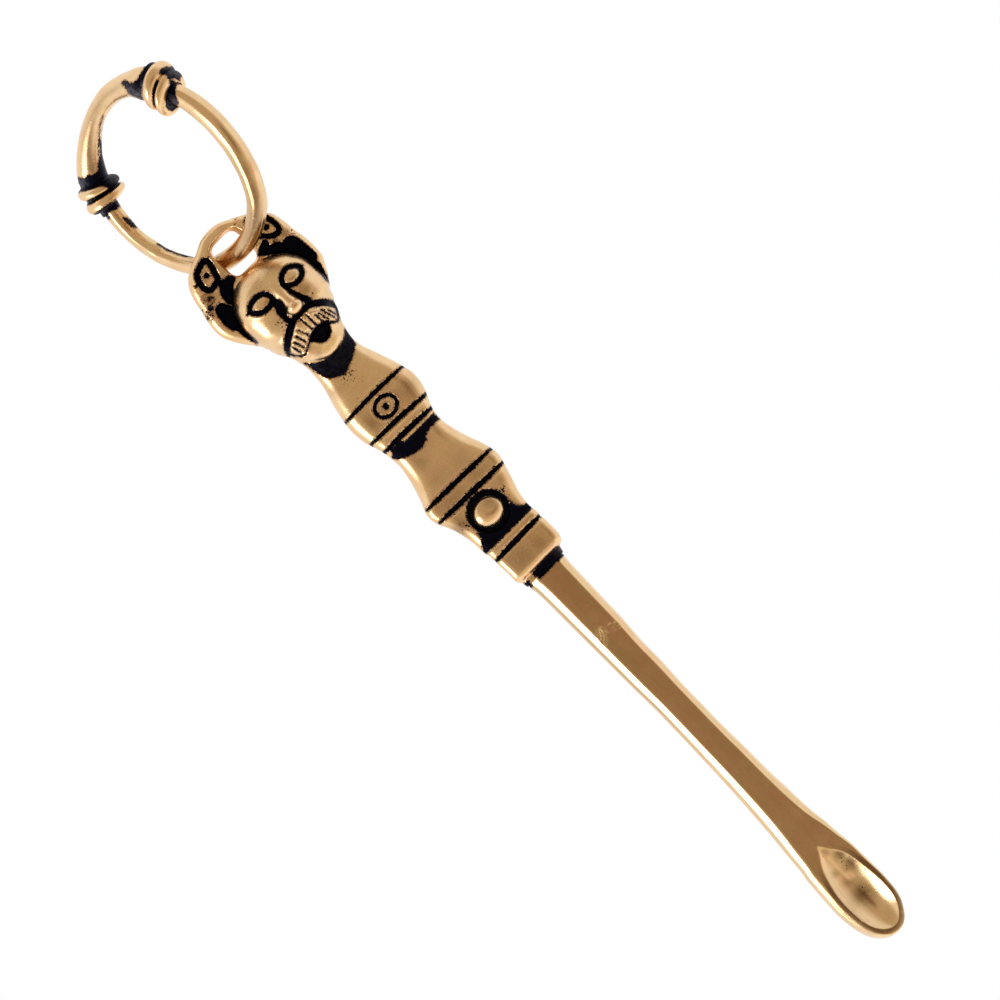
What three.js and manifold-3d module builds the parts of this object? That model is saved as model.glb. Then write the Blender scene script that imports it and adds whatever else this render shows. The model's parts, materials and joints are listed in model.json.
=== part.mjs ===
// Ear spoon of cast bronze: a moulded handle with a mask at its head, a riveted shank that ends
// in a small scoop, and a carrying ring that runs through the eye above the mask.
// Millimetres, Z up. X is to the right of the mask, and the mask looks towards -Y.
// The spoon hangs upright from its ring, and the origin is the top of the ring's inside.

import * as THREE from 'three';
import { mergeVertices } from 'three/addons/utils/BufferGeometryUtils.js';
import Module from 'manifold-3d';

// Ring: a thick bow with a beaded collar at each end, closed by a thinner wire
const ringRadius = 8.94;
const ringYaw = 48;
const ringLean = 6.5;
const bowFrom = 46.5;
const bowTo = 162.5;
const bowThickness = 1.85;
const bowEndThickness = 2.65;
const bowSwell = 4;
const wireWornThickness = 1.5;
const rightBead = { diameter: 4.3, length: 1.15, wire: 1.9 };
const leftBead = { diameter: 4.1, length: 0.8, wire: 1.7 };
const beadGap = 0.35;
const beadGapDepth = 0.5;
const beadRoundness = 0.7;
const collarNeckDiameter = 2.3;
const collarNeckLength = 0.9;
const collarMouthDiameter = 2.7;
const collarMouthLength = 0.6;
const plugLength = 1.9;
const plugEndRoom = 0.3;
const socketPastMouth = 1;
const wireBelowEyeMiddle = 0.2;
const wireRightOfEyeMiddle = 0.03;

// Eye: the hole above the mask that the ring's wire runs through
const eyeWidth = 3.15;
const eyeHeight = 3.5;
const eyeSquareness = 4;
const eyeBar = 1.3;
const eyeLand = 0.2;
const eyeRounding = 0.6;
const eyeFlare = 0.95;
const countersink = 1.2;
const countersinkSlope = 1.3;
const plateEdge = 0.3;

// Crown: the leaf on each side of the mask, standing proud of the thin plate round the eye
const crownWidth = 11.5;
const crownHeight = 10.8;
const leftLeafEdge = [
  [0.48, 0.08], [0.74, 0.16], [0.83, 0.21], [0.905, 0.29], [0.975, 0.45],
  [1.035, 0.61], [0.997, 0.73], [0.867, 0.84], [0.708, 0.987],
];
const rightLeafEdge = [
  [0.39, 0.08], [0.66, 0.16], [0.81, 0.25], [0.905, 0.4], [0.96, 0.57],
  [0.975, 0.71], [0.93, 0.83], [0.723, 0.987],
];
const leafFront = 1.25;
const leafBack = 1.1;
const leafEdge = 0.35;
const leafBorder = 0.7;
const leafFromEye = 0.3;
const leafInnerWidth = 5.8;
const leafNotch = 0.55;
const dropLevel = 7.1;
const dropWidth = 1.6;
const dropHeight = 3.7;
const dropDepth = 0.6;
const dropLean = -8;
const markWidth = 1.85;
const markHeight = 2.4;
const markGroove = 0.45;
const markDot = 0.55;
const markFromLeg = 0.3;

// Mask
const faceWidth = 8.2;
const faceHeight = 10.5;
const faceDepth = 3.8;
const chinWidth = 5;
const chinHeight = 1.3;
const skullDepth = 2.7;
const featureShift = 0.4;
const browDrop = 3.1;
const eyeSpacing = 3.75;
const eyeMarkWidth = 2.5;
const eyeMarkHeight = 1.75;
const eyeMarkGroove = 0.4;
const almondPoint = 0.25;
const featureDepth = 0.35;
const noseLength = 3.6;
const noseBridge = 1.1;
const noseWidth = 1.7;
const noseHeight = 0.75;
const moustacheSpan = 5.3;
const moustacheDrop = 7.25;
const moustacheThickness = 1.4;
const moustacheNotch = 0.2;
const moustacheGroove = 0.45;
const mouthWidth = 2.4;
const mouthHeight = 1.4;
const mouthDepth = 1;
const cutterReach = 1;

// Shares that shape the mask: of its levels, its half widths and its depths
const widestShare = 0.42;
const jawDepthShare = 0.92;
const foreheadBend = { width: 0.7, depth: 0.6, level: 0.42 };
const cheekBend = { leave: 0.25, arrive: 0.15 };
const chinBend = { level: 0.7, width: 0.92, depth: 0.98 };
const chinTip = { width: 0.55, depth: 0.7 };
const frontFall = 3;
const frontFallPower = 4;
const frontLeast = 0.05;
const almondPointPower = 6;
const almondPinch = 0.25;
const almondPinchPower = 3;
const moustacheCrest = 0.28;
const moustacheDip = 0.62;
const moustacheTipDrop = 0.55;
const moustacheTipFoot = 0.9;
const moustacheBelly = 0.55;
const mouthCorner = { across: 0.85, down: 0.45 };
const mouthBottom = { across: 0.4, down: 0.95 };
const noseStart = 0.15;
const noseBridgeRise = 0.25;
const noseTipFrom = 0.8;
const noseTipFall = 4;

// Handle below the mask: two swellings, a ridge and a collar, on a flat back
const handleBack = 2;
const frontCorner = 0.9;
const backCorner = 0.5;
const neckWidth = 4.7;
const neckDepth = 1.9;
const neckLength = 1.1;
const upperRise = 5;
const upperFall = 4.7;
const upperWidth = 7.5;
const upperDepth = 2.3;
const waistWidth = 5.45;
const waistDepth = 1.95;
const lowerRise = 5.5;
const lowerFall = 4.8;
const lowerWidth = 8.3;
const lowerDepth = 2.4;
const ridgeWidth = 5.75;
const ridgeDepth = 2.15;
const ridgeLength = 1.9;
const collarWidth = 5.7;
const collarDepth = 2.35;
const collarLength = 2.8;
const collarEdge = 0.5;
const footWidth = 4.5;
const footDepth = 1.6;
const footLength = 0.75;

// How much of each run of the handle leaves level and arrives level, as shares of its length
const upperRiseEase = { leave: 0.25, arrive: 0.5 };
const upperFallEase = { leave: 0.5, arrive: 0.5 };
const lowerRiseEase = { leave: 0.3, arrive: 0.15 };
const lowerFallEase = { leave: 0.1, arrive: 0.3 };

// Grooves cut across the handle's front, each by its distance from the form it belongs to, and
// their section in shares of the width across and of the depth
const grooveWidth = 0.42;
const grooveDepth = 0.28;
const aboveUpperPeak = 1.15;
const belowUpperPeak = 1.9;
const upperFoot = 3.35;
const aboveLowerPeak = 0.8;
const belowLowerPeak = 0.9;
const grooveClearance = 0.6;
const grooveSection = [[-0.5, 0], [-0.2, 1], [0.2, 1], [0.5, 0]];

// Ring-and-dot mark on the upper swelling
const dotRingDiameter = 1.95;
const dotRingGroove = 0.4;
const dotDiameter = 0.62;
const dotBelowPeak = 0.35;

// Stud rivet through the lower swelling and the tang
const studBelowPeak = 3.15;
const studDiameter = 2.8;
const studDome = 0.85;
const studBrim = 0.25;
const studSeatDiameter = 4;
const studSeatDepth = 0.5;
const pinDiameter = 1.1;

// Shank and scoop
const fitClearance = 0.15;
const shankOffset = -0.2;
const shankSlant = 1;
const shankTwist = 8;
const shankTopWidth = 4.1;
const shankWaistWidth = 3.28;
const shankFront = 1.15;
const shankBack = 1.15;
const shankCorner = 0.7;
const shankTaperLength = 15.4;
const shankEvenLength = 5.2;
const scoopNeckLength = 19.2;
const scoopWidth = 5.36;
const scoopTipLength = 4.2;
const scoopTipThickness = 1.3;
const shankTopLeave = 1;
const shankTopArrive = 6;
const scoopLeave = 7.6;
const scoopArrive = 3.1;
const cornerLimit = 0.9;
const rimCornerShare = 0.6;
const hollowWidth = 4;
const hollowLength = 9.4;
const hollowRound = 4;
const hollowDepth = 1.2;
const hollowPoint = 0.02;
const hollowUpperBend = { level: 0.2, width: 0.5, depth: 0.3 };
const hollowLowerBend = { level: 0.55, depth: 0.9 };
const scoopRim = 0.5;
const tangWidth = 2.6;
const tangDepth = 1.4;
const tangPastStud = 1.4;

const wasm = await Module();
wasm.setup();

const radians = THREE.MathUtils.degToRad;
const mix = THREE.MathUtils.lerp;
const quarterTurn = 90;
const halfTurn = 2 * quarterTurn;
const fullTurn = 4 * quarterTurn;

// Turns a closed three.js geometry into a solid that can be joined and cut
function toSolid(geometry) {
  const bare = geometry.clone();
  bare.deleteAttribute('normal');
  bare.deleteAttribute('uv');
  const merged = mergeVertices(bare, 1e-4);
  const corners = merged.index.array;
  const triangles = [];
  for (let i = 0; i < corners.length; i += 3) {
    const [a, b, c] = [corners[i], corners[i + 1], corners[i + 2]];
    if (a !== b && b !== c && c !== a) triangles.push(a, b, c);
  }
  const mesh = new wasm.Mesh({
    numProp: 3,
    vertProperties: new Float32Array(merged.attributes.position.array),
    triVerts: new Uint32Array(triangles),
  });
  return new wasm.Manifold(mesh);
}

// Turns a solid back into a geometry for a mesh
function toGeometry(solid) {
  const { vertProperties, triVerts } = solid.getMesh();
  const geometry = new THREE.BufferGeometry();
  geometry.setAttribute('position', new THREE.BufferAttribute(vertProperties, 3));
  geometry.setIndex(new THREE.BufferAttribute(triVerts, 1));
  geometry.computeVertexNormals();
  return geometry;
}

// The largest of a solid's parts, without the specks that a cut can leave
function largest(solid) {
  return solid.decompose().reduce((best, part) => (part.volume() > best.volume() ? part : best));
}

// A closed skin over a row of outlines with equally many points, each turning left as seen
// from the first outline's side
function loft(outlines) {
  const count = outlines[0].length;
  const points = outlines.flat();
  const last = outlines.length - 1;
  for (const end of [outlines[0], outlines[last]]) {
    const middle = new THREE.Vector3();
    end.forEach((point) => middle.add(point));
    points.push(middle.divideScalar(count));
  }
  const firstMiddle = outlines.length * count;
  const index = [];
  for (let j = 0; j < count; j++) {
    const next = (j + 1) % count;
    for (let i = 0; i < last; i++) {
      const [here, below] = [i * count, (i + 1) * count];
      index.push(here + j, below + j, below + next, here + j, below + next, here + next);
    }
    index.push(firstMiddle, j, next, firstMiddle + 1, last * count + next, last * count + j);
  }
  const geometry = new THREE.BufferGeometry().setFromPoints(points);
  geometry.setIndex(index);
  return geometry;
}

// A rounded outline at height z: halfWidth each way in x, front towards -Y and back towards +Y,
// with corners that measure cornerX by cornerY
function outline(z, { halfWidth, front, back, frontX, frontY, backX, backY }, steps) {
  const corners = [
    [halfWidth - backX, back - backY, backX, backY, 0],
    [backX - halfWidth, back - backY, backX, backY, quarterTurn],
    [frontX - halfWidth, frontY - front, frontX, frontY, halfTurn],
    [halfWidth - frontX, frontY - front, frontX, frontY, halfTurn + quarterTurn],
  ];
  const points = [];
  for (const [middleX, middleY, cornerX, cornerY, from] of corners) {
    for (let i = 0; i <= steps; i++) {
      const angle = radians(from + (quarterTurn * i) / steps);
      const x = middleX + cornerX * Math.cos(angle);
      points.push(new THREE.Vector3(x, middleY + cornerY * Math.sin(angle), z));
    }
  }
  return points;
}

// Levels, measured down from the top of the eye's bar
const eyeLevel = eyeBar + eyeHeight / 2;
const faceTop = eyeBar + eyeHeight;
const chin = faceTop + faceHeight;
const neckEnd = chin + neckLength;
const upperPeak = neckEnd + upperRise;
const waist = upperPeak + upperFall;
const lowerPeak = waist + lowerRise;
const ridgeStart = lowerPeak + lowerFall;
const collarStart = ridgeStart + ridgeLength;
const collarEnd = collarStart + collarLength;
const footEnd = collarEnd + footLength;
const studLevel = lowerPeak + studBelowPeak;
const shoulder = footEnd + fitClearance;
const height = (down) => eyeLevel - down;

// Samples a smooth run between two profile points (down, half width, front depth), which leaves
// and arrives level over the two easing lengths
function ease(from, to, leave, arrive, steps) {
  const start = new THREE.Vector3(...from);
  const end = new THREE.Vector3(...to);
  const first = start.clone().setX(start.x + leave);
  const second = end.clone().setX(end.x - arrive);
  return new THREE.CubicBezierCurve3(start, first, second, end).getPoints(steps);
}

// A run of the handle, whose easing lengths are shares of its own length
const run = (from, to, length, { leave, arrive }, steps) =>
  ease(from, to, length * leave, length * arrive, steps);

// The handle's half width and front depth all the way down, without its grooves
function handleProfile() {
  const neckPoint = [neckEnd, neckWidth / 2, neckDepth];
  const upperPoint = [upperPeak, upperWidth / 2, upperDepth];
  const waistPoint = [waist, waistWidth / 2, waistDepth];
  const lowerPoint = [lowerPeak, lowerWidth / 2, lowerDepth];
  const ridgePoint = [ridgeStart, ridgeWidth / 2, ridgeDepth];
  const neckTop = chin - chinHeight - neckLength;
  return [
    new THREE.Vector3(neckTop, neckWidth / 2, neckDepth),
    ...run(neckPoint, upperPoint, upperRise, upperRiseEase, 7),
    ...run(upperPoint, waistPoint, upperFall, upperFallEase, 7).slice(1),
    ...run(waistPoint, lowerPoint, lowerRise, lowerRiseEase, 8).slice(1),
    ...run(lowerPoint, ridgePoint, lowerFall, lowerFallEase, 6).slice(1),
    new THREE.Vector3(collarStart - collarEdge, ridgeWidth / 2, ridgeDepth),
    new THREE.Vector3(collarStart, collarWidth / 2 - collarEdge, collarDepth - collarEdge),
    ...roundedEdge(collarStart),
    ...roundedEdge(collarEnd),
    new THREE.Vector3(collarEnd + collarEdge / 2, footWidth / 2, footDepth),
    new THREE.Vector3(footEnd, footWidth / 2, footDepth),
  ];
}

// The collar's rounded edge, below its top level or above its bottom level
function roundedEdge(level) {
  const steps = 3;
  const points = [];
  for (let i = 1; i <= steps; i++) {
    const isTop = level === collarStart;
    const angle = radians((quarterTurn * (isTop ? i : steps - i)) / steps);
    const inset = collarEdge * (1 - Math.sin(angle));
    const along = collarEdge * (1 - Math.cos(angle));
    const down = isTop ? level + along : level - along;
    points.push(new THREE.Vector3(down, collarWidth / 2 - inset, collarDepth - inset));
  }
  return points;
}

// The profile's values at one level, straight between its points
function profileAt(profile, down) {
  const next = Math.max(1, profile.findIndex((point) => point.x >= down));
  const [above, below] = [profile[next - 1], profile[next]];
  const share = (down - above.x) / (below.x - above.x || 1);
  return new THREE.Vector3().lerpVectors(above, below, share).setX(down);
}

const grooveLevels = [
  upperPeak - aboveUpperPeak,
  upperPeak + belowUpperPeak,
  upperPeak + upperFoot,
  lowerPeak - aboveLowerPeak,
  lowerPeak + belowLowerPeak,
  collarStart - grooveWidth / 2,
];

// The moulded handle from the neck to the foot, flat at the back
function handleBody() {
  const profile = handleProfile();
  const plain = profile.filter(
    (point) => grooveLevels.every((level) => Math.abs(point.x - level) > grooveWidth * grooveClearance),
  );
  const levels = plain.map((point) => ({ point, inset: 0 }));
  for (const level of grooveLevels) {
    for (const [offset, inset] of grooveSection) {
      const point = profileAt(profile, level + offset * grooveWidth);
      levels.push({ point, inset: inset * grooveDepth });
    }
  }
  levels.sort((a, b) => a.point.x - b.point.x);
  const outlines = levels.map(({ point, inset }) => {
    const section = {
      halfWidth: point.y,
      front: point.z - inset,
      back: handleBack,
      frontX: frontCorner,
      frontY: frontCorner,
      backX: backCorner,
      backY: backCorner,
    };
    return outline(height(point.x), section, 4);
  });
  return toSolid(loft(outlines));
}

// The mask's egg-shaped body, rounded at the back
function skull() {
  const widest = faceTop + faceHeight * widestShare;
  const half = faceWidth / 2;
  const jaw = [chin - chinHeight, chinWidth / 2, faceDepth * jawDepthShare];
  const forehead = new THREE.CubicBezierCurve3(
    new THREE.Vector3(faceTop, 0, 0),
    new THREE.Vector3(faceTop, half * foreheadBend.width, faceDepth * foreheadBend.depth),
    new THREE.Vector3(mix(faceTop, widest, foreheadBend.level), half, faceDepth),
    new THREE.Vector3(widest, half, faceDepth),
  );
  const cheeks = run([widest, half, faceDepth], jaw, faceHeight, cheekBend, 8);
  const roundChin = new THREE.CubicBezierCurve3(
    new THREE.Vector3(...jaw),
    new THREE.Vector3(mix(jaw[0], chin, chinBend.level), jaw[1] * chinBend.width, jaw[2] * chinBend.depth),
    new THREE.Vector3(chin, jaw[1] * chinTip.width, jaw[2] * chinTip.depth),
    new THREE.Vector3(chin, 0, 0),
  );
  const profile = [...forehead.getPoints(8), ...cheeks.slice(1), ...roundChin.getPoints(6).slice(1)];
  const outlines = profile.map((point) => {
    const back = (point.z * skullDepth) / faceDepth;
    const section = {
      halfWidth: point.y,
      front: point.z,
      back,
      frontX: point.y,
      frontY: point.z,
      backX: point.y,
      backY: back,
    };
    return outline(height(point.x), section, 6);
  });
  return toSolid(loft(outlines));
}

// Where the mask's front lies at x and a level, on its smooth egg
function faceFront(x, down) {
  const fromMiddle = (down - faceTop) / faceHeight - 0.5;
  const wide = (2 * x) / faceWidth;
  const left = 1 - wide * wide - fromMiddle ** frontFallPower * frontFall;
  return -faceDepth * Math.sqrt(Math.max(frontLeast, left));
}

// A ball with its own size along each axis, turned about Y and placed
function pebble(x, y, z, sizeX, sizeY, sizeZ, turn) {
  const ball = new THREE.SphereGeometry(0.5, 12, 8);
  ball.scale(sizeX, sizeY, sizeZ);
  ball.rotateY(radians(turn));
  ball.translate(x, y, z);
  return toSolid(ball);
}

// An oval groove ring for cutting, lying on the XZ plane
function ovalRing(x, y, z, width, tall, groove) {
  const ring = new THREE.TorusGeometry(0.5, groove / width, 6, 16);
  ring.rotateX(Math.PI / 2);
  ring.scale(width, width, tall);
  ring.translate(x, y, z);
  return toSolid(ring);
}

// An upright cylinder laid along Y, from the front value to the back value
function rodAlongY(x, z, diameter, from, to, sides = 24) {
  const rod = new THREE.CylinderGeometry(diameter / 2, diameter / 2, to - from, sides);
  rod.translate(x, (from + to) / 2, z);
  return toSolid(rod);
}

// A spot of the crown's edge, given by its shares of the half width and of the height
const crownSpot = (side, [across, down]) =>
  new THREE.Vector2((side * across * crownWidth) / 2, height(down * crownHeight));
const leafEdgeOf = (side) => (side < 0 ? leftLeafEdge : rightLeafEdge).map((spot) => crownSpot(side, spot));

// Lays an extruded drawing upright, its drawing plane on XZ, from the front face to the back face
function uprightExtrude(shape, frontFace, backFace, edge) {
  const extruded = new THREE.ExtrudeGeometry(shape, {
    depth: backFace - frontFace - 2 * edge,
    bevelEnabled: true,
    bevelThickness: edge,
    bevelSize: edge,
    bevelOffset: -edge,
    bevelSegments: 2,
    steps: 1,
  });
  extruded.rotateX(Math.PI / 2);
  extruded.translate(0, backFace - edge, 0);
  return toSolid(extruded);
}

// The thin plate that carries both leaves and is pierced by the eye
function crownPlate() {
  const top = crownSpot(1, [0, 0]);
  const outer = new THREE.SplineCurve([...leafEdgeOf(-1).reverse(), top, ...leafEdgeOf(1)]);
  const half = eyeLand / 2 + eyeRounding;
  return uprightExtrude(new THREE.Shape(outer.getPoints(44)), -half, half, plateEdge);
}

// One leaf of the crown: a raised border round a sunk drop, with an oval mark above it
function leaf(side) {
  const outer = new THREE.SplineCurve(leafEdgeOf(side).slice(1)).getPoints(18);
  const legX = eyeWidth / 2 + leafFromEye;
  const browX = leafInnerWidth / 2;
  const inner = [
    [browX, crownHeight],
    [browX, faceTop + leafNotch],
    [legX + leafNotch, faceTop - leafNotch],
    [legX, faceTop - leafNotch],
    [legX, eyeBar],
  ].map(([x, down]) => new THREE.Vector2(side * x, height(down)));
  const drawn = new THREE.Shape([...outer, ...inner]);
  const leafSolid = uprightExtrude(drawn, -leafFront, leafBack, leafEdge);
  const dropX = side * (crownWidth / 2 - leafBorder - dropWidth / 2);
  const dropZ = height(dropLevel);
  const drop = pebble(dropX, -leafFront, dropZ, dropWidth, 2 * dropDepth, dropHeight, side * dropLean);
  const markX = side * (legX + markFromLeg + markWidth / 2);
  const mark = ovalRing(markX, -leafFront, height(eyeLevel), markWidth, markHeight, markGroove);
  const dotFloor = markGroove / 2 - leafFront;
  const dot = rodAlongY(markX, height(eyeLevel), markDot, -leafFront - markDot, dotFloor, 12);
  return leafSolid.subtract(drop).subtract(mark).subtract(dot);
}

// How far a direction's squared-off oval reaches past a round one
function squareReach(angle) {
  const across = Math.abs(Math.cos(angle)) ** eyeSquareness;
  const up = Math.abs(Math.sin(angle)) ** eyeSquareness;
  return (across + up) ** (-1 / eyeSquareness);
}

// The eye's hole: a squared-off oval, straight in the middle of the plate and flared to both
// faces, so that the wire can pass aslant
function eyeHole() {
  const straight = eyeWidth / 2;
  const half = eyeLand / 2;
  const wall = [new THREE.Vector2(straight, half)];
  const steps = 4;
  for (let i = 1; i <= steps; i++) {
    const angle = radians((quarterTurn * i) / steps);
    const reach = straight + eyeFlare * (1 - Math.cos(angle));
    wall.push(new THREE.Vector2(reach, half + eyeRounding * Math.sin(angle)));
  }
  const sinkReach = straight + eyeFlare + countersink * countersinkSlope;
  wall.push(new THREE.Vector2(sinkReach, half + eyeRounding + countersink));
  const mirrored = wall.map((point) => new THREE.Vector2(point.x, -point.y)).reverse();
  const end = wall[wall.length - 1].y;
  const profile = [new THREE.Vector2(0, -end), ...mirrored, ...wall, new THREE.Vector2(0, end)];
  const turned = new THREE.LatheGeometry(profile, 32);
  const places = turned.attributes.position;
  for (let i = 0; i < places.count; i++) {
    const [x, z] = [places.getX(i), places.getZ(i)];
    const reach = squareReach(Math.atan2(z, x));
    places.setXYZ(i, x * reach, places.getY(i), (z * reach * eyeHeight) / eyeWidth);
  }
  return toSolid(turned);
}

// A prism along Y over an outline drawn on the mask: x from its features' middle and levels down
// from its top
function maskPrism(points) {
  const spot = ([x, down]) => new THREE.Vector2(featureShift + x, height(faceTop + down));
  const shape = new THREE.Shape(points.map(spot));
  const prism = new THREE.ExtrudeGeometry(shape, { depth: 2 * faceDepth, bevelEnabled: false });
  prism.rotateX(Math.PI / 2);
  return toSolid(prism);
}

// An eye's almond outline about its middle, pointed at its outer end, widened by a margin
function almond(side, margin) {
  const points = [];
  const steps = 22;
  for (let i = 0; i < steps; i++) {
    const angle = (2 * Math.PI * i) / steps;
    const outward = Math.max(0, Math.cos(angle));
    const reach = eyeMarkWidth / 2 + margin + almondPoint * outward ** almondPointPower;
    const pinch = 1 - almondPinch * outward ** almondPinchPower;
    const rise = (eyeMarkHeight / 2 + margin) * Math.sin(angle) * pinch;
    points.push([side * (eyeSpacing / 2 + reach * Math.cos(angle)), browDrop - rise]);
  }
  return side > 0 ? points : points.reverse();
}

// The moustache's outline, widened by a margin: two drooping lobes with a notch between them
function moustacheOutline(margin) {
  const reach = moustacheSpan / 2;
  const upper = moustacheDrop - moustacheThickness / 2 - margin;
  const lower = moustacheDrop + moustacheThickness / 2 + margin;
  const half = [
    [0, upper + moustacheNotch],
    [moustacheCrest * reach, upper - moustacheNotch / 2],
    [moustacheDip * reach, upper + moustacheNotch],
    [reach + margin, moustacheDrop + moustacheThickness * moustacheTipDrop],
    [moustacheTipFoot * reach, lower + moustacheNotch],
    [moustacheBelly * reach, lower],
    [0, lower - moustacheNotch],
  ];
  return [...half, ...half.slice(1, -1).reverse().map(([x, down]) => [-x, down])];
}

// The mouth's outline: flat above and rounded below
function mouthOutline() {
  const lip = moustacheDrop + moustacheThickness / 2 - moustacheNotch;
  const half = mouthWidth / 2;
  const right = [[half, lip]];
  for (const { across, down } of [mouthCorner, mouthBottom]) {
    right.push([half * across, lip + mouthHeight * down]);
  }
  const left = right.map(([x, down]) => [-x, down]).reverse();
  return [left[left.length - 1], ...right, ...left.slice(0, -1)];
}

// The nose: a ridge that widens and rises from the brow down to its rounded tip
function nose() {
  const levels = [];
  const steps = 8;
  for (let i = 0; i <= steps; i++) {
    const share = i / steps;
    const down = faceTop + browDrop + noseLength * share - noseLength * noseStart;
    const half = mix(noseBridge, noseWidth, share) / 2;
    const tip = Math.sqrt(1 - Math.max(0, share - noseTipFrom) * noseTipFall);
    const rise = mix(noseBridgeRise, 1, share) * noseHeight * tip;
    const front = -faceFront(featureShift, down) + rise;
    const section = { halfWidth: half, front, back: 0, frontX: half, frontY: 2 * rise, backX: 0, backY: 0 };
    levels.push(outline(height(down), section, 4));
  }
  return toSolid(loft(levels)).translate([featureShift, 0, 0]);
}

// The nose, eyes, moustache and mouth, added to or cut from the mask
function carveFace(head) {
  const egg = skull();
  const proud = egg.translate([0, -cutterReach, 0]);
  const layer = (depth) => proud.subtract(egg.translate([0, depth, 0]));
  let grooves = maskPrism(moustacheOutline(moustacheGroove)).subtract(maskPrism(moustacheOutline(0)));
  for (const side of [-1, 1]) {
    grooves = grooves.add(maskPrism(almond(side, 0)).subtract(maskPrism(almond(side, -eyeMarkGroove))));
  }
  const carved = head.subtract(grooves.intersect(layer(featureDepth)));
  return carved.subtract(maskPrism(mouthOutline()).intersect(layer(mouthDepth))).add(nose());
}

// The ring-and-dot mark cut in the flat front of the upper swelling
function ringAndDot() {
  const level = upperPeak + dotBelowPeak;
  const ring = ovalRing(0, -upperDepth, height(level), dotRingDiameter, dotRingDiameter, dotRingGroove);
  const floor = -upperDepth + dotRingGroove / 2;
  const dot = rodAlongY(0, height(level), dotDiameter, -upperDepth - cutterReach, floor);
  return ring.add(dot);
}

// Where the shank stands in the handle: its own top is its shoulder, which butts on the foot
const shankPose = new THREE.Matrix4()
  .makeTranslation(shankOffset, 0, height(shoulder))
  .multiply(new THREE.Matrix4().makeRotationY(radians(shankSlant)))
  .multiply(new THREE.Matrix4().makeRotationZ(radians(shankTwist)));

const studRise = shoulder - studLevel;
const tangLength = studRise + tangPastStud;

// The tang, or with room round it the socket that it fits
function tang(room) {
  const bottom = -fitClearance - room;
  const box = new THREE.BoxGeometry(tangWidth + 2 * room, tangDepth + 2 * room, tangLength + room - bottom);
  box.translate(0, 0, (tangLength + room + bottom) / 2);
  return toSolid(box.applyMatrix4(shankPose));
}

// A rod along Y through the stud's place
function throughStud(diameter, from, to, sides) {
  return rodAlongY(shankOffset, height(studLevel), diameter, from, to, sides);
}

// The cast handle: crown, mask and moulded grip in one piece, with the tang's socket
function handle() {
  const crown = crownPlate().add(leaf(1)).add(leaf(-1)).subtract(eyeHole());
  let body = crown.add(skull()).add(handleBody());
  body = carveFace(body).subtract(ringAndDot());
  const past = 2 * lowerDepth;
  const pinHole = throughStud(pinDiameter + 2 * fitClearance, -past, past, 16);
  const seat = throughStud(studSeatDiameter, -past, studSeatDepth - lowerDepth, 32);
  return largest(body.subtract(tang(fitClearance)).subtract(pinHole).subtract(seat));
}

// The stud: a domed head over a plain pin that ends flush with the handle's back
function stud() {
  const seatFloor = studSeatDepth - lowerDepth - fitClearance;
  const domeBase = seatFloor - studBrim;
  const profile = [];
  const steps = 6;
  for (let i = 0; i <= steps; i++) {
    const angle = radians((quarterTurn * i) / steps);
    const y = domeBase - studDome * Math.cos(angle);
    profile.push(new THREE.Vector2((studDiameter / 2) * Math.sin(angle), y));
  }
  profile.push(new THREE.Vector2(studDiameter / 2, seatFloor));
  profile.push(new THREE.Vector2(pinDiameter / 2, seatFloor));
  profile.push(new THREE.Vector2(pinDiameter / 2, handleBack));
  profile.push(new THREE.Vector2(0, handleBack));
  const turned = new THREE.LatheGeometry(profile, 24);
  turned.translate(shankOffset, 0, height(studLevel));
  return toSolid(turned);
}

const scoopWidest = shankTaperLength + shankEvenLength + scoopNeckLength;
const scoopTip = scoopWidest + scoopTipLength;

// The shank from its shoulder to the scoop's tip, measured down from the shoulder
function blade() {
  const evenStart = shankTaperLength;
  const evenEnd = shankTaperLength + shankEvenLength;
  const narrow = shankWaistWidth / 2;
  const profile = [
    ...ease([0, shankTopWidth / 2, 1], [evenStart, narrow, 1], shankTopLeave, shankTopArrive, 5),
    ...ease([evenEnd, narrow, 1], [scoopWidest, scoopWidth / 2, 1], scoopLeave, scoopArrive, 12),
  ];
  const tipSteps = 7;
  const lastAngle = 86;
  const rimCorner = scoopRim * rimCornerShare;
  for (let i = 1; i <= tipSteps; i++) {
    const angle = radians((lastAngle * i) / tipSteps);
    const down = scoopWidest + scoopTipLength * Math.sin(angle);
    const thickness = mix(scoopTipThickness / (shankFront + shankBack), 1, Math.cos(angle));
    profile.push(new THREE.Vector3(down, (scoopWidth / 2) * Math.cos(angle), thickness));
  }
  const outlines = profile.map((point) => {
    const spread = Math.max(0, (point.y - narrow) / (scoopWidth / 2 - narrow));
    const inScoop = point.x > evenEnd ? Math.min(1, spread) : 0;
    const corner = Math.min(shankCorner, point.y * cornerLimit);
    const back = shankBack * point.z;
    const section = {
      halfWidth: point.y,
      front: shankFront,
      back: point.z < 1 ? back : shankBack,
      frontX: mix(corner, rimCorner, inScoop) * Math.min(1, point.y),
      frontY: mix(shankCorner, rimCorner, inScoop),
      backX: mix(corner, point.y, inScoop),
      backY: mix(shankCorner, shankFront + back - rimCorner, inScoop),
    };
    return outline(-point.x, section, 4);
  });
  return toSolid(loft(outlines).applyMatrix4(shankPose));
}

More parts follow.
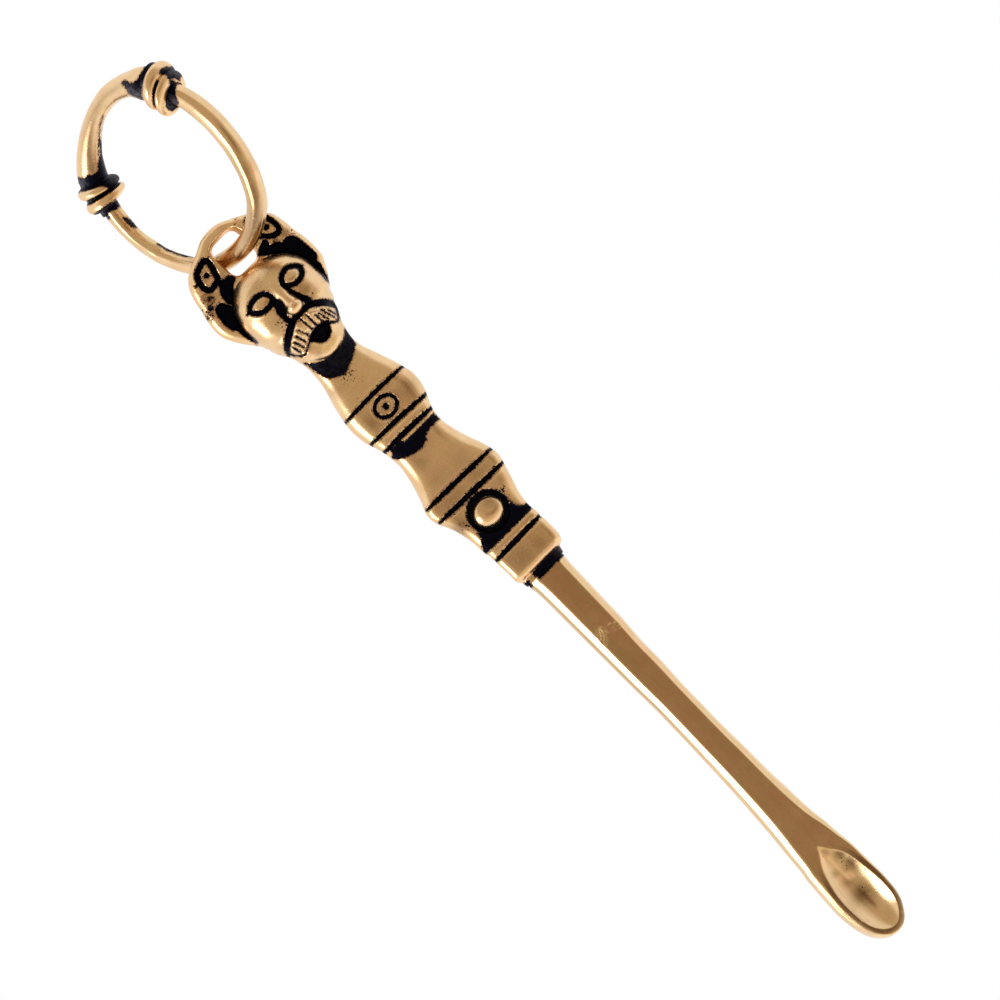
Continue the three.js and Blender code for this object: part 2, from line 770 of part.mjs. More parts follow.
// The scoop's hollow: a drop with its point towards the shank, sunk in the front
function hollow() {
  const end = scoopTip - scoopRim;
  const start = end - hollowLength;
  const deepest = end - hollowRound;
  const half = hollowWidth / 2;
  const pointed = new THREE.CubicBezierCurve3(
    new THREE.Vector3(start, hollowPoint, hollowPoint),
    new THREE.Vector3(
      mix(start, deepest, hollowUpperBend.level),
      half * hollowUpperBend.width,
      hollowDepth * hollowUpperBend.depth,
    ),
    new THREE.Vector3(
      mix(start, deepest, hollowLowerBend.level),
      half,
      hollowDepth * hollowLowerBend.depth,
    ),
    new THREE.Vector3(deepest, half, hollowDepth),
  ).getPoints(10);
  const roundSteps = 7;
  const lastAngle = 88;
  for (let i = 1; i <= roundSteps; i++) {
    const angle = radians((lastAngle * i) / roundSteps);
    const shrink = Math.cos(angle);
    const down = deepest + hollowRound * Math.sin(angle);
    pointed.push(new THREE.Vector3(down, half * shrink, hollowDepth * shrink));
  }
  const outlines = pointed.map((point) => {
    const section = {
      halfWidth: point.y,
      front: 2 * shankFront,
      back: point.z - shankFront,
      frontX: 0,
      frontY: 0,
      backX: point.y,
      backY: point.z,
    };
    return outline(-point.x, section, 6);
  });
  return toSolid(loft(outlines).applyMatrix4(shankPose));
}

// The shank with its scoop, and the tang with the pin's hole
function shank() {
  const past = 2 * lowerDepth;
  const pinHole = throughStud(pinDiameter + 2 * fitClearance, -past, past, 16);
  return blade().subtract(hollow()).add(tang(0)).subtract(pinHole);
}

// A rod along the ring's centre line between two angles, which may change its thickness
function ringRod(from, to, radiusAt, steps, sides) {
  const outlines = [];
  for (let i = 0; i <= steps; i++) {
    const angle = mix(from, to, i / steps);
    const radius = radiusAt(angle);
    const points = [];
    for (let j = 0; j < sides; j++) {
      const turn = (2 * Math.PI * j) / sides;
      const reach = ringRadius + radius * Math.cos(turn);
      const x = reach * Math.cos(radians(angle));
      const y = reach * Math.sin(radians(angle));
      points.push(new THREE.Vector3(x, y, radius * Math.sin(turn)));
    }
    outlines.push(points);
  }
  return toSolid(loft(outlines));
}

// How many degrees of the ring a length along its centre line takes
const ringDegrees = (length) => THREE.MathUtils.radToDeg(length / ringRadius);

// How far from a collar's middle its mouth lies, and how far the wire's end
const collarMouth = (bead) => beadGap / 2 + bead.length + collarMouthLength;
const plugEnd = (bead) => collarMouth(bead) - plugLength;

// A collar's outline, with its axis along Y, its bow side low and its mouth high
function collarProfile(bead) {
  const gapRadius = bead.diameter / 2 - beadGapDepth;
  const low = -beadGap / 2 - bead.length;
  const profile = [
    new THREE.Vector2(0, low - collarNeckLength),
    new THREE.Vector2(bowEndThickness / 2, low - collarNeckLength),
    new THREE.Vector2(collarNeckDiameter / 2, low),
  ];
  for (const start of [low, beadGap / 2]) {
    const steps = 6;
    for (let i = 0; i <= steps; i++) {
      const angle = radians((halfTurn * i) / steps);
      const reach = gapRadius + beadGapDepth * Math.sin(angle) ** beadRoundness;
      profile.push(new THREE.Vector2(reach, start + (bead.length / 2) * (1 - Math.cos(angle))));
    }
  }
  profile.push(new THREE.Vector2(collarMouthDiameter / 2, collarMouth(bead)));
  profile.push(new THREE.Vector2(0, collarMouth(bead)));
  return profile;
}

// A collar set on the ring at an angle; side is 1 where the wire leaves it anticlockwise
function collar(bead, angle, side) {
  const turned = new THREE.LatheGeometry(collarProfile(bead), 24);
  turned.rotateZ(radians(side > 0 ? angle : angle + halfTurn));
  const turn = radians(angle);
  turned.translate(ringRadius * Math.cos(turn), ringRadius * Math.sin(turn), 0);
  return toSolid(turned);
}

// The bow: a thick arc that swells towards the beaded collar at each end, with the wire's sockets
function ringBow() {
  const middle = (bowFrom + bowTo) / 2;
  const span = (bowTo - bowFrom) / 2;
  const swell = (angle) => (Math.abs(angle - middle) / span) ** bowSwell;
  const bowRadius = (angle) => mix(bowThickness, bowEndThickness, swell(angle)) / 2;
  const neckEndOf = (bead) => ringDegrees(beadGap / 2 + bead.length + collarNeckLength / 2);
  let bow = ringRod(bowFrom + neckEndOf(rightBead), bowTo - neckEndOf(leftBead), bowRadius, 20, 12);
  for (const [bead, angle, side] of [[rightBead, bowFrom, -1], [leftBead, bowTo, 1]]) {
    const deep = angle + side * ringDegrees(plugEnd(bead) - plugEndRoom);
    const past = angle + side * ringDegrees(collarMouth(bead) + socketPastMouth);
    const socketRadius = () => bead.wire / 2 + fitClearance;
    const socket = ringRod(Math.min(deep, past), Math.max(deep, past), socketRadius, 4, 12);
    bow = bow.add(collar(bead, angle, side)).subtract(socket);
  }
  return bow;
}

// The wire: the open arc that plugs into both collars and is worn thin where the spoon hangs
function ringWire() {
  const start = bowTo + ringDegrees(plugEnd(leftBead));
  const end = fullTurn + bowFrom - ringDegrees(plugEnd(rightBead));
  const lowest = fullTurn - quarterTurn;
  const wireRadius = (angle) => {
    const away = Math.min(1, Math.abs(angle - lowest) / quarterTurn);
    const endThickness = angle < lowest ? leftBead.wire : rightBead.wire;
    return mix(wireWornThickness, endThickness, away) / 2;
  };
  return ringRod(start, end, wireRadius, 40, 14);
}

const goldBronze = new THREE.MeshStandardMaterial({ color: 0xb98a4e, metalness: 1, roughness: 0.32 });
const wornBronze = new THREE.MeshStandardMaterial({ color: 0xc29a62, metalness: 1, roughness: 0.25 });

// A named mesh of one solid
function mesh(name, solid, material) {
  const made = new THREE.Mesh(toGeometry(solid), material);
  made.name = name;
  return made;
}

// The ring's own axes: across, up and square to it
const lean = radians(ringLean);
const yaw = radians(ringYaw);
const ringUp = new THREE.Vector3(Math.sin(lean), 0, Math.cos(lean));
const ringAcross = new THREE.Vector3(
  Math.cos(lean) * Math.cos(yaw),
  -Math.sin(yaw),
  -Math.sin(lean) * Math.cos(yaw),
);
const ringNormal = new THREE.Vector3().crossVectors(ringAcross, ringUp);
const ringCentre = ringUp.clone().multiplyScalar(bowThickness / 2 - ringRadius);

const ring = new THREE.Group();
ring.setRotationFromMatrix(new THREE.Matrix4().makeBasis(ringAcross, ringUp, ringNormal));
ring.position.copy(ringCentre);
ring.add(mesh('ring_bow', ringBow(), goldBronze));
ring.add(mesh('ring_wire', ringWire(), wornBronze));

// The spoon's own origin is the middle of its eye
const spoon = new THREE.Group();
spoon.position.copy(ringCentre).addScaledVector(ringUp, -ringRadius);
spoon.position.add(new THREE.Vector3(-wireRightOfEyeMiddle, 0, wireBelowEyeMiddle));
spoon.add(mesh('handle', handle(), goldBronze));
spoon.add(mesh('shank', shank(), wornBronze));
spoon.add(mesh('stud', stud(), goldBronze));

const earSpoon = new THREE.Group();
earSpoon.add(ring, spoon);

export default earSpoon;
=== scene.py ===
"""Looks of a cast bronze ear spoon that hangs on an oval carrying ring.

Metres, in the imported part's frame: +Z up, the front faces -Y, the origin is the top of the ring's inside.
The spoon's forms are drawn in millimetres on its own front: across from the middle of its eye, to the
right, and down from the top of the eye's bar.
"""

import json
import logging
import math
from dataclasses import dataclass, field
from enum import Enum

import bpy
import numpy as np
from mathutils import Matrix, Vector

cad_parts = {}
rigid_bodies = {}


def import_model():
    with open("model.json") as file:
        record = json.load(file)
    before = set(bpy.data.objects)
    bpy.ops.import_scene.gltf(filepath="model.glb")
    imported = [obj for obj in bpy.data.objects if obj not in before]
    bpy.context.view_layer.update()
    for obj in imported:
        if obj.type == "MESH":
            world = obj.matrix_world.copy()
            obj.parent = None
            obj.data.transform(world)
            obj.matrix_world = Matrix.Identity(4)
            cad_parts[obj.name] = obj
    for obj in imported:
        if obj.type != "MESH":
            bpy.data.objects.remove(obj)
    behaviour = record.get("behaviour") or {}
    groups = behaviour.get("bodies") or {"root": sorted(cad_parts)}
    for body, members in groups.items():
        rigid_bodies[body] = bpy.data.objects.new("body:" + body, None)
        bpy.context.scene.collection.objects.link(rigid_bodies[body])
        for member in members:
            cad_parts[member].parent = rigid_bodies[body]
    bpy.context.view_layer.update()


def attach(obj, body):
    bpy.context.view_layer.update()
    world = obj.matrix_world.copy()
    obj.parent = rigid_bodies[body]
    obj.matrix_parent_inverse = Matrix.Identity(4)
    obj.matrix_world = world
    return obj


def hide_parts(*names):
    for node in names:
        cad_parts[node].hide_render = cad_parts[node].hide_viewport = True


Colour = tuple[float, float, float]
Spot = tuple[float, float]
Blob = tuple[float, float, float, float]
Array = np.ndarray
log = logging.getLogger("ear_spoon")
MM = 0.001
EYE_MIDDLE = Vector((-1.94936, 0.0, -16.64601))
BAR_TOP = 3.05
WAVES = 14


class Slot(Enum):
    """The record's material slots."""

    PATINATED = "patinated_bronze"
    BRIGHT = "bright_bronze"


class Body(Enum):
    """The bodies that the pieces ride on."""

    RING = "ring"
    SPOON = "spoon"


class Select(Enum):
    """What edit mode picks."""

    VERT = "VERT"
    EDGE = "EDGE"
    FACE = "FACE"


def eased(value: Array, low: float, high: float) -> Array:
    """Rises smoothly from 0 at low to 1 at high.

    Args:
        value: The values to map.
        low: Where the result is 0.
        high: Where the result is 1.

    Returns:
        The mapped values.
    """
    share = np.clip((value - low) / (high - low), 0.0, 1.0)
    return share * share * (3.0 - 2.0 * share)


def rounded(distance: Array, radius: float | Array) -> Array:
    """How far a rounded edge lies below its flat, at a distance in from the rim.

    Args:
        distance: Distances in from the rim.
        radius: The edge's radius.

    Returns:
        The drop, 0 on the flat and the radius at the rim.
    """
    inside = radius - np.clip(distance, 0.0, radius)
    return radius - np.sqrt(radius * radius - inside * inside)


def flowing(points: tuple[tuple[float, ...], ...], closed: bool, steps: int = 6) -> Array:
    """Runs a smooth curve through points.

    Args:
        points: The points, with any number of values each.
        closed: Whether the curve comes back to its start.
        steps: Pieces between two points.

    Returns:
        The curve's points, one row each.
    """
    given = np.array(points, dtype=float)
    if closed:
        padded = np.vstack([given[-1:], given, given[:2]])
    else:
        padded = np.vstack([2 * given[:1] - given[1:2], given, 2 * given[-1:] - given[-2:-1]])
    share = (np.arange(steps) / steps)[:, None]
    rows = []
    for a, b, c, d in zip(padded, padded[1:], padded[2:], padded[3:]):
        bend = 2 * a - 5 * b + 4 * c - d
        turn = 3 * b - a - 3 * c + d
        rows.append(b + 0.5 * share * ((c - a) + share * (bend + share * turn)))
    rows = np.vstack(rows)
    return rows if closed else np.vstack([rows, given[-1:]])


def line_distance(across: Array, down: Array, line: Array, closed: bool) -> tuple[Array, Array]:
    """Finds how far places lie from a line.

    Args:
        across: Places, across.
        down: Places, down.
        line: The line's points; a third column is a width that changes along it.
        closed: Whether the last point joins the first.

    Returns:
        The distances, and the width at the nearest spot of the line.
    """
    starts = line if closed else line[:-1]
    ends = np.roll(line, -1, axis=0) if closed else line[1:]
    best = np.full(across.shape, np.inf)
    width = np.zeros(across.shape)
    for a, b in zip(starts, ends):
        run = b[:2] - a[:2]
        length = max(float(run @ run), 1e-12)
        share = np.clip(((across - a[0]) * run[0] + (down - a[1]) * run[1]) / length, 0.0, 1.0)
        away = np.hypot(across - a[0] - share * run[0], down - a[1] - share * run[1])
        nearer = away < best
        best = np.where(nearer, away, best)
        if len(a) > 2:
            width = np.where(nearer, a[2] + share * (b[2] - a[2]), width)
    return best, width


def inside(across: Array, down: Array, outline: Array) -> Array:
    """Tells which places lie inside an outline.

    Args:
        across: Places, across.
        down: Places, down.
        outline: The outline's points.

    Returns:
        True where a place lies inside.
    """
    result = np.zeros(across.shape, dtype=bool)
    for a, b in zip(outline, np.roll(outline, -1, axis=0)):
        crosses = (a[1] > down) != (b[1] > down)
        drop = b[1] - a[1] if b[1] != a[1] else 1e-12
        result ^= crosses & (across < a[0] + (down - a[1]) * (b[0] - a[0]) / drop)
    return result


def unevenness(across: Array, down: Array, size: float, seed: int) -> Array:
    """Makes the slow random waves of a hand-finished surface.

    Args:
        across: Places, across.
        down: Places, down.
        size: The waves' usual length.
        seed: Which random waves.

    Returns:
        The waves' height, mostly between -1 and 1.
    """
    random = np.random.default_rng(seed)
    total = np.zeros(across.shape)
    for _ in range(WAVES):
        way, phase = random.uniform(0.0, 2 * math.pi, 2)
        length = size * random.uniform(0.6, 1.8)
        total += np.sin(2 * math.pi * (across * math.cos(way) + down * math.sin(way)) / length + phase)
    return total / math.sqrt(WAVES)


def blobs(across: Array, down: Array, spots: tuple[Blob, ...]) -> Array:
    """Makes soft round spots.

    Args:
        across: Places, across.
        down: Places, down.
        spots: Each spot's place across, level, radius and strength.

    Returns:
        The strongest spot's strength at each place.
    """
    result = np.zeros(across.shape)
    for middle, level, radius, strength in spots:
        away = (across - middle) ** 2 + (down - level) ** 2
        result = np.maximum(result, strength * np.exp(-away / radius**2))
    return result


@dataclass(frozen=True)
class Groove:
    """A line cut in the front, dark along its bottom, with a low burr along its edges."""

    points: tuple[Spot, ...]
    width: float
    depth: float
    closed: bool = False
    stain: float = 0.04
    taper: bool = False
    burr: float = 0.025

    def reach(self, across: Array, down: Array) -> Array:
        """Finds how far places lie inside the groove's edge.

        Args:
            across: Places, across.
            down: Places, down.

        Returns:
            Distances in from the edge, negative outside.
        """
        line = flowing(self.points, self.closed)
        shares = np.linspace(-1.0, 1.0, len(line))
        half = np.full(len(line), self.width / 2)
        if self.taper:
            half *= 1.0 - 0.55 * np.abs(shares) ** 3
        line = np.column_stack([line, half])
        result = np.full(across.shape, -1.0)
        margin = 1.0
        low, high = line[:, :2].min(axis=0) - margin, line[:, :2].max(axis=0) + margin
        near = (across > low[0]) & (across < high[0]) & (down > low[1]) & (down < high[1])
        away, halves = line_distance(across[near], down[near], line, self.closed)
        result[near] = halves - away
        return result

    def sunk(self, reach: Array) -> Array:
        """How deep the groove is, by the distance in from its edge."""
        return self.depth * eased(reach, -0.05, self.width * 0.4) - self.burr * np.exp(-(((reach + 0.15) / 0.08) ** 2))

    def darkness(self, reach: Array) -> Array:
        """The measure of the dark skin, by the distance in from the groove's edge."""
        return (reach + self.stain) / 0.3


@dataclass(frozen=True)
class Recess:
    """An area sunk in the front, dark all over.

    With no depth it is only a dark patch, and with a depth below zero it stands proud. The dark skin's
    measure goes no higher than most.
    """

    points: tuple[Spot, ...]
    depth: float
    slope: float = 0.2
    stain: float = 0.03
    smooth: bool = True
    most: float = 9.0

    def reach(self, across: Array, down: Array) -> Array:
        """Finds how far places lie inside the area's edge.

        Args:
            across: Places, across.
            down: Places, down.

        Returns:
            Distances in from the edge, negative outside.
        """
        line = flowing(self.points, True, 4) if self.smooth else np.array(self.points)
        result = np.full(across.shape, -1.0)
        margin = 1.0
        low, high = line.min(axis=0) - margin, line.max(axis=0) + margin
        near = (across > low[0]) & (across < high[0]) & (down > low[1]) & (down < high[1])
        away, _ = line_distance(across[near], down[near], line, True)
        result[near] = np.where(inside(across[near], down[near], line), away, -away)
        return result

    def sunk(self, reach: Array) -> Array:
        """How deep the area is, by the distance in from its edge."""
        return self.depth * eased(reach, -0.03, self.slope)

    def darkness(self, reach: Array) -> Array:
        """The measure of the dark skin, by the distance in from the area's edge."""
        return np.minimum((reach + self.stain) / 0.3, self.most)


def oval(middle: Spot, half_across: float, half_down: float, count: int = 20) -> tuple[Spot, ...]:
    """Draws an oval.

    Args:
        middle: Its middle.
        half_across: Half its width.
        half_down: Half its height.
        count: How many points.

    Returns:
        The points.
    """
    turns = [2 * math.pi * i / count for i in range(count)]
    return tuple((middle[0] + half_across * math.cos(a), middle[1] + half_down * math.sin(a)) for a in turns)


class Shaper:
    """Bpy steps that several pieces share."""

    @staticmethod
    def wrapped_grid(name: str, around: int, along: int) -> bpy.types.Object:
        """Adds a grid to be wrapped into a tube, with faces around by along.

        Args:
            name: The piece's name.
            around: Faces around.
            along: Faces along.

        Returns:
            The grid's object.
        """
        bpy.ops.object.select_all(action="DESELECT")
        bpy.ops.mesh.primitive_grid_add(x_subdivisions=around, y_subdivisions=along, size=1.0)
        made = bpy.context.object
        made.name = name
        made.data.name = name
        return made

    @staticmethod
    def put(piece: bpy.types.Object, places: Array) -> None:
        """Moves all points of a piece to places in metres."""
        piece.data.vertices.foreach_set("co", np.ascontiguousarray(places, dtype=np.float32).ravel())
        piece.data.update()

    @staticmethod
    def places(piece: bpy.types.Object) -> Array:
        """Reads all points of a piece, one row each."""
        read = np.empty(len(piece.data.vertices) * 3, dtype=np.float32)
        piece.data.vertices.foreach_get("co", read)
        return read.reshape(-1, 3).astype(float)

    @staticmethod
    def pick_faces(piece: bpy.types.Object, chosen: Array) -> None:
        """Selects faces in object mode, and nothing else.

        Args:
            piece: The piece.
            chosen: One truth value for each face.
        """
        mesh = piece.data
        mesh.vertices.foreach_set("select", np.zeros(len(mesh.vertices), dtype=bool))
        mesh.edges.foreach_set("select", np.zeros(len(mesh.edges), dtype=bool))
        mesh.polygons.foreach_set("select", chosen)

    @staticmethod
    def edit(piece: bpy.types.Object, mode: Select) -> None:
        """Enters edit mode on one piece.

        Args:
            piece: The piece.
            mode: What edit mode picks.
        """
        bpy.ops.object.select_all(action="DESELECT")
        bpy.context.view_layer.objects.active = piece
        piece.select_set(True)
        bpy.ops.object.mode_set(mode="EDIT")
        bpy.ops.mesh.select_mode(type=mode.value)

    @staticmethod
    def close_tube(piece: bpy.types.Object) -> None:
        """Joins a wrapped grid along its seam, fills its two ends and turns its faces outwards."""
        Shaper.edit(piece, Select.VERT)
        bpy.ops.mesh.select_all(action="SELECT")
        bpy.ops.mesh.remove_doubles(threshold=1e-7)
        bpy.ops.mesh.select_all(action="DESELECT")
        bpy.ops.mesh.select_non_manifold(extend=False)
        bpy.ops.mesh.fill_holes(sides=0)
        bpy.ops.mesh.select_all(action="SELECT")
        bpy.ops.mesh.normals_make_consistent(inside=False)
        bpy.ops.object.mode_set(mode="OBJECT")
        bpy.ops.object.shade_smooth()

    @staticmethod
    def tube(
        name: str, middles: Array, first: Array, second: Array, radii: Array, around: int, square: float | Array = 2.0
    ) -> bpy.types.Object:
        """Makes a rod along a path of middles.

        Args:
            name: The piece's name.
            middles: The path, one row for each ring of points, in millimetres.
            first: The direction of each ring's first axis.
            second: The direction of each ring's second axis.
            radii: Each ring's radius.
            around: Faces around.
            square: How square the section is, for all rings or for each; 2 is round.

        Returns:
            The rod's object.
        """
        piece = Shaper.wrapped_grid(name, around, len(middles) - 1)
        turns = (np.arange(around + 1) % around) * 2 * math.pi / around
        cosine, sine = np.cos(turns)[None, :], np.sin(turns)[None, :]
        power = np.broadcast_to(square, (len(middles),))[:, None]
        out = (np.abs(cosine) ** power + np.abs(sine) ** power) ** (-1 / power)
        reach = (cosine * out)[:, :, None] * first[:, None, :] + (sine * out)[:, :, None] * second[:, None, :]
        places = middles[:, None, :] + radii[:, None, None] * reach
        Shaper.put(piece, places.reshape(-1, 3) * MM)
        return piece

    @staticmethod
    def mark(piece: bpy.types.Object, name: str, values: Array) -> None:
        """Writes a value for each point as a named attribute.

        Args:
            piece: The piece.
            name: The attribute's name.
            values: One value for each point.
        """
        made = piece.data.attributes.new(name, "FLOAT", "POINT")
        made.data.foreach_set("value", np.ascontiguousarray(values, dtype=np.float32))

    @staticmethod
    def finish(piece: bpy.types.Object, finish: bpy.types.Material, body: Body, node: str, slot: Slot) -> None:
        """Dresses a piece and puts it in a node's place.

        Args:
            piece: The piece.
            finish: Its material.
            body: The body that it rides on.
            node: The node that it stands for.
            slot: The record's slot named for the piece; not used.
        """
        piece.data.materials.clear()
        piece.data.materials.append(finish)
        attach(piece, body.value)
        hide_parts(node)
        log.info("built %s: %d faces", piece.name, len(piece.data.polygons))


class Graph:
    """A material's node tree, with short calls for the nodes used here."""

    def __init__(self, name: str) -> None:
        """Starts an empty tree.

        Args:
            name: The material's name.
        """
        self.material = bpy.data.materials.new(name)
        self.material.use_nodes = True
        self.tree = self.material.node_tree
        self.tree.nodes.clear()

    def node(self, kind: str, **settings: object) -> bpy.types.Node:
        """Adds a node.

        Args:
            kind: The node's Blender type name.
            **settings: Properties of the node.

        Returns:
            The new node.
        """
        made = self.tree.nodes.new(kind)
        for key, value in settings.items():
            setattr(made, key, value)
        return made

    def link(self, source: bpy.types.NodeSocket, target: bpy.types.NodeSocket) -> None:
        """Joins two sockets."""
        self.tree.links.new(source, target)

    def noise(self, where: bpy.types.NodeSocket, scale: float, detail: float, rough: float) -> bpy.types.NodeSocket:
        """Adds a noise texture.

        Args:
            where: The coordinates it reads.
            scale: Cells per metre.
            detail: Octaves.
            rough: Share of the finer octaves.

        Returns:
            The noise's value, from 0 to 1.
        """
        made = self.node("ShaderNodeTexNoise")
        made.inputs["Scale"].default_value = scale
        made.inputs["Detail"].default_value = detail
        made.inputs["Roughness"].default_value = rough
        self.link(where, made.inputs["Vector"])
        return made.outputs["Fac"]

    def stretched(self, where: bpy.types.NodeSocket, factors: Colour) -> bpy.types.NodeSocket:
        """Scales coordinates by a factor of their own each way.

        Args:
            where: The coordinates.
            factors: The three factors.

        Returns:
            The scaled coordinates.
        """
        made = self.node("ShaderNodeVectorMath", operation="MULTIPLY")
        made.inputs[1].default_value = factors
        self.link(where, made.inputs[0])
        return made.outputs["Vector"]

    def ramp(self, value: bpy.types.NodeSocket, low: float, high: float) -> bpy.types.NodeSocket:
        """Maps a value smoothly from 0 at low to 1 at high.

        Args:
            value: The value to map.
            low: Where the result is 0.
            high: Where the result is 1.

        Returns:
            The mapped value.
        """
        made = self.node("ShaderNodeMapRange", interpolation_type="SMOOTHSTEP")
        made.inputs["From Min"].default_value = low
        made.inputs["From Max"].default_value = high
        self.link(value, made.inputs["Value"])
        return made.outputs["Result"]

    def sum(self, operation: str, a: bpy.types.NodeSocket, b: bpy.types.NodeSocket | float) -> bpy.types.NodeSocket:
        """Adds a math node.

        Args:
            operation: The node's operation.
            a: Its first value.
            b: Its second value, a socket or a number.

        Returns:
            The result.
        """
        made = self.node("ShaderNodeMath", operation=operation)
        self.link(a, made.inputs[0])
        if isinstance(b, bpy.types.NodeSocket):
            self.link(b, made.inputs[1])
        else:
            made.inputs[1].default_value = b
        return made.outputs[0]

    def mix(self, share: bpy.types.NodeSocket, a: object, b: object) -> bpy.types.NodeSocket:
        """Mixes two colours.

        Args:
            share: How much of b.
            a: A colour, or a socket that gives one.
            b: A colour, or a socket that gives one.

        Returns:
            The mixed colour.
        """
        made = self.node("ShaderNodeMix", data_type="RGBA")
        self.link(share, made.inputs["Factor"])
        for value, target in ((a, made.inputs["A"]), (b, made.inputs["B"])):
            if isinstance(value, bpy.types.NodeSocket):
                self.link(value, target)
            else:
                target.default_value = (*value, 1.0)
        return made.outputs["Result"]


@dataclass(frozen=True)
class BronzeFinish:
    """Polished cast bronze: slow changes of tone, fine grain, pits, and a black skin left in the low places.

    The skin lies where the piece's attribute "stain" is above 0, with a ragged edge. It is turned grey where its
    attribute "wear" is high: rubbing on the handle, a painted sheen on the ring. Pits gather where its attribute
    "pits" is high, and the metal takes a dull brown where its attribute "brown" is high: partly discolouring,
    partly painted shade and painted dark reflections.
    """

    name: str
    light: Colour
    deep: Colour
    rosy: Colour
    olive: Colour
    tarnish_and_painted_shade: Colour
    halo: Colour
    skin: Colour
    wear_and_sheen_grey: Colour
    roughness: tuple[float, float]
    grain: float
    ragged: float
    streaks: float

    def material(self) -> bpy.types.Material:
        """Builds the finish.

        Returns:
            The material.
        """
        g = Graph(self.name)
        where = g.node("ShaderNodeTexCoord").outputs["Object"]
        stain = g.node("ShaderNodeAttribute", attribute_name="stain").outputs["Fac"]
        pits = g.node("ShaderNodeAttribute", attribute_name="pits").outputs["Fac"]
        wear_and_sheen = g.node("ShaderNodeAttribute", attribute_name="wear_and_sheen").outputs["Fac"]
        brown = g.node("ShaderNodeAttribute", attribute_name="brown").outputs["Fac"]
        tone = g.ramp(g.noise(where, 420.0, 5.0, 0.6), 0.3, 0.7)
        blush = g.ramp(g.noise(where, 1100.0, 5.0, 0.65), 0.45, 0.68)
        streak = g.ramp(g.noise(g.stretched(where, (1.0, 1.0, 0.05)), 2300.0, 4.0, 0.6), 0.42, 0.6)
        brown_mottle = g.ramp(g.noise(where, 1700.0, 5.0, 0.7), 0.15, 0.48)
        ragged = g.sum("SUBTRACT", g.noise(where, 3600.0, 5.0, 0.65), 0.5)
        tatters = g.sum("SUBTRACT", g.noise(where, 11000.0, 2.0, 0.5), 0.5)
        edge = g.sum("ADD", stain, g.sum("MULTIPLY", ragged, self.ragged))
        edge = g.sum("ADD", edge, g.sum("MULTIPLY", tatters, self.ragged * 0.8))
        dark = g.ramp(edge, -0.04, 0.08)
        halo = g.ramp(edge, -0.5, 0.05)
        fine = g.noise(where, 7000.0, 4.0, 0.6)
        pit_noise = g.noise(where, 5200.0, 3.0, 0.55)
        pit = g.ramp(g.sum("ADD", pit_noise, g.sum("MULTIPLY", pits, 0.24)), 0.73, 0.79)
        metal = g.mix(tone, self.deep, self.light)
        metal = g.mix(g.sum("MULTIPLY", blush, 0.6), metal, self.rosy)
        metal = g.mix(g.sum("MULTIPLY", streak, self.streaks), metal, self.olive)
        # The dull brown where the brown attribute is high: partly discolouring, partly painted shade and painted dark
        # reflections.
        metal = g.mix(g.sum("MULTIPLY", brown, brown_mottle), metal, self.tarnish_and_painted_shade)
        metal = g.mix(g.sum("MULTIPLY", halo, 0.8), metal, self.halo)
        black = g.sum("MAXIMUM", dark, pit)
        # Grey on the black skin where the wear attribute is high: rubbing on the handle, a painted sheen on the ring.
        wear_and_sheen_grey = g.sum("MULTIPLY", wear_and_sheen, g.ramp(g.noise(where, 2600.0, 4.0, 0.6), 0.3, 0.62))
        colour = g.mix(black, metal, g.mix(wear_and_sheen_grey, self.skin, self.wear_and_sheen_grey))
        low, high = self.roughness
        shine = g.node("ShaderNodeMapRange")
        shine.inputs["To Min"].default_value = low
        shine.inputs["To Max"].default_value = high
        g.link(fine, shine.inputs["Value"])
        rough = g.node("ShaderNodeMix", data_type="FLOAT")
        g.link(black, rough.inputs["Factor"])
        g.link(shine.outputs["Result"], rough.inputs["A"])
        rough.inputs["B"].default_value = 0.55
        relief = g.sum("SUBTRACT", fine, g.sum("MULTIPLY", pit, 1.6))
        relief = g.sum("SUBTRACT", relief, g.sum("MULTIPLY", dark, 0.8))
        bump = g.node("ShaderNodeBump")
        bump.inputs["Strength"].default_value = self.grain
        bump.inputs["Distance"].default_value = 0.00005
        g.link(relief, bump.inputs["Height"])
        shader = g.node("ShaderNodeBsdfPrincipled")
        shader.inputs["Metallic"].default_value = 1.0
        g.link(colour, shader.inputs["Base Color"])
        g.link(rough.outputs["Result"], shader.inputs["Roughness"])
        g.link(bump.outputs["Normal"], shader.inputs["Normal"])
        g.link(shader.outputs["BSDF"], g.node("ShaderNodeOutputMaterial").inputs["Surface"])
        return g.material


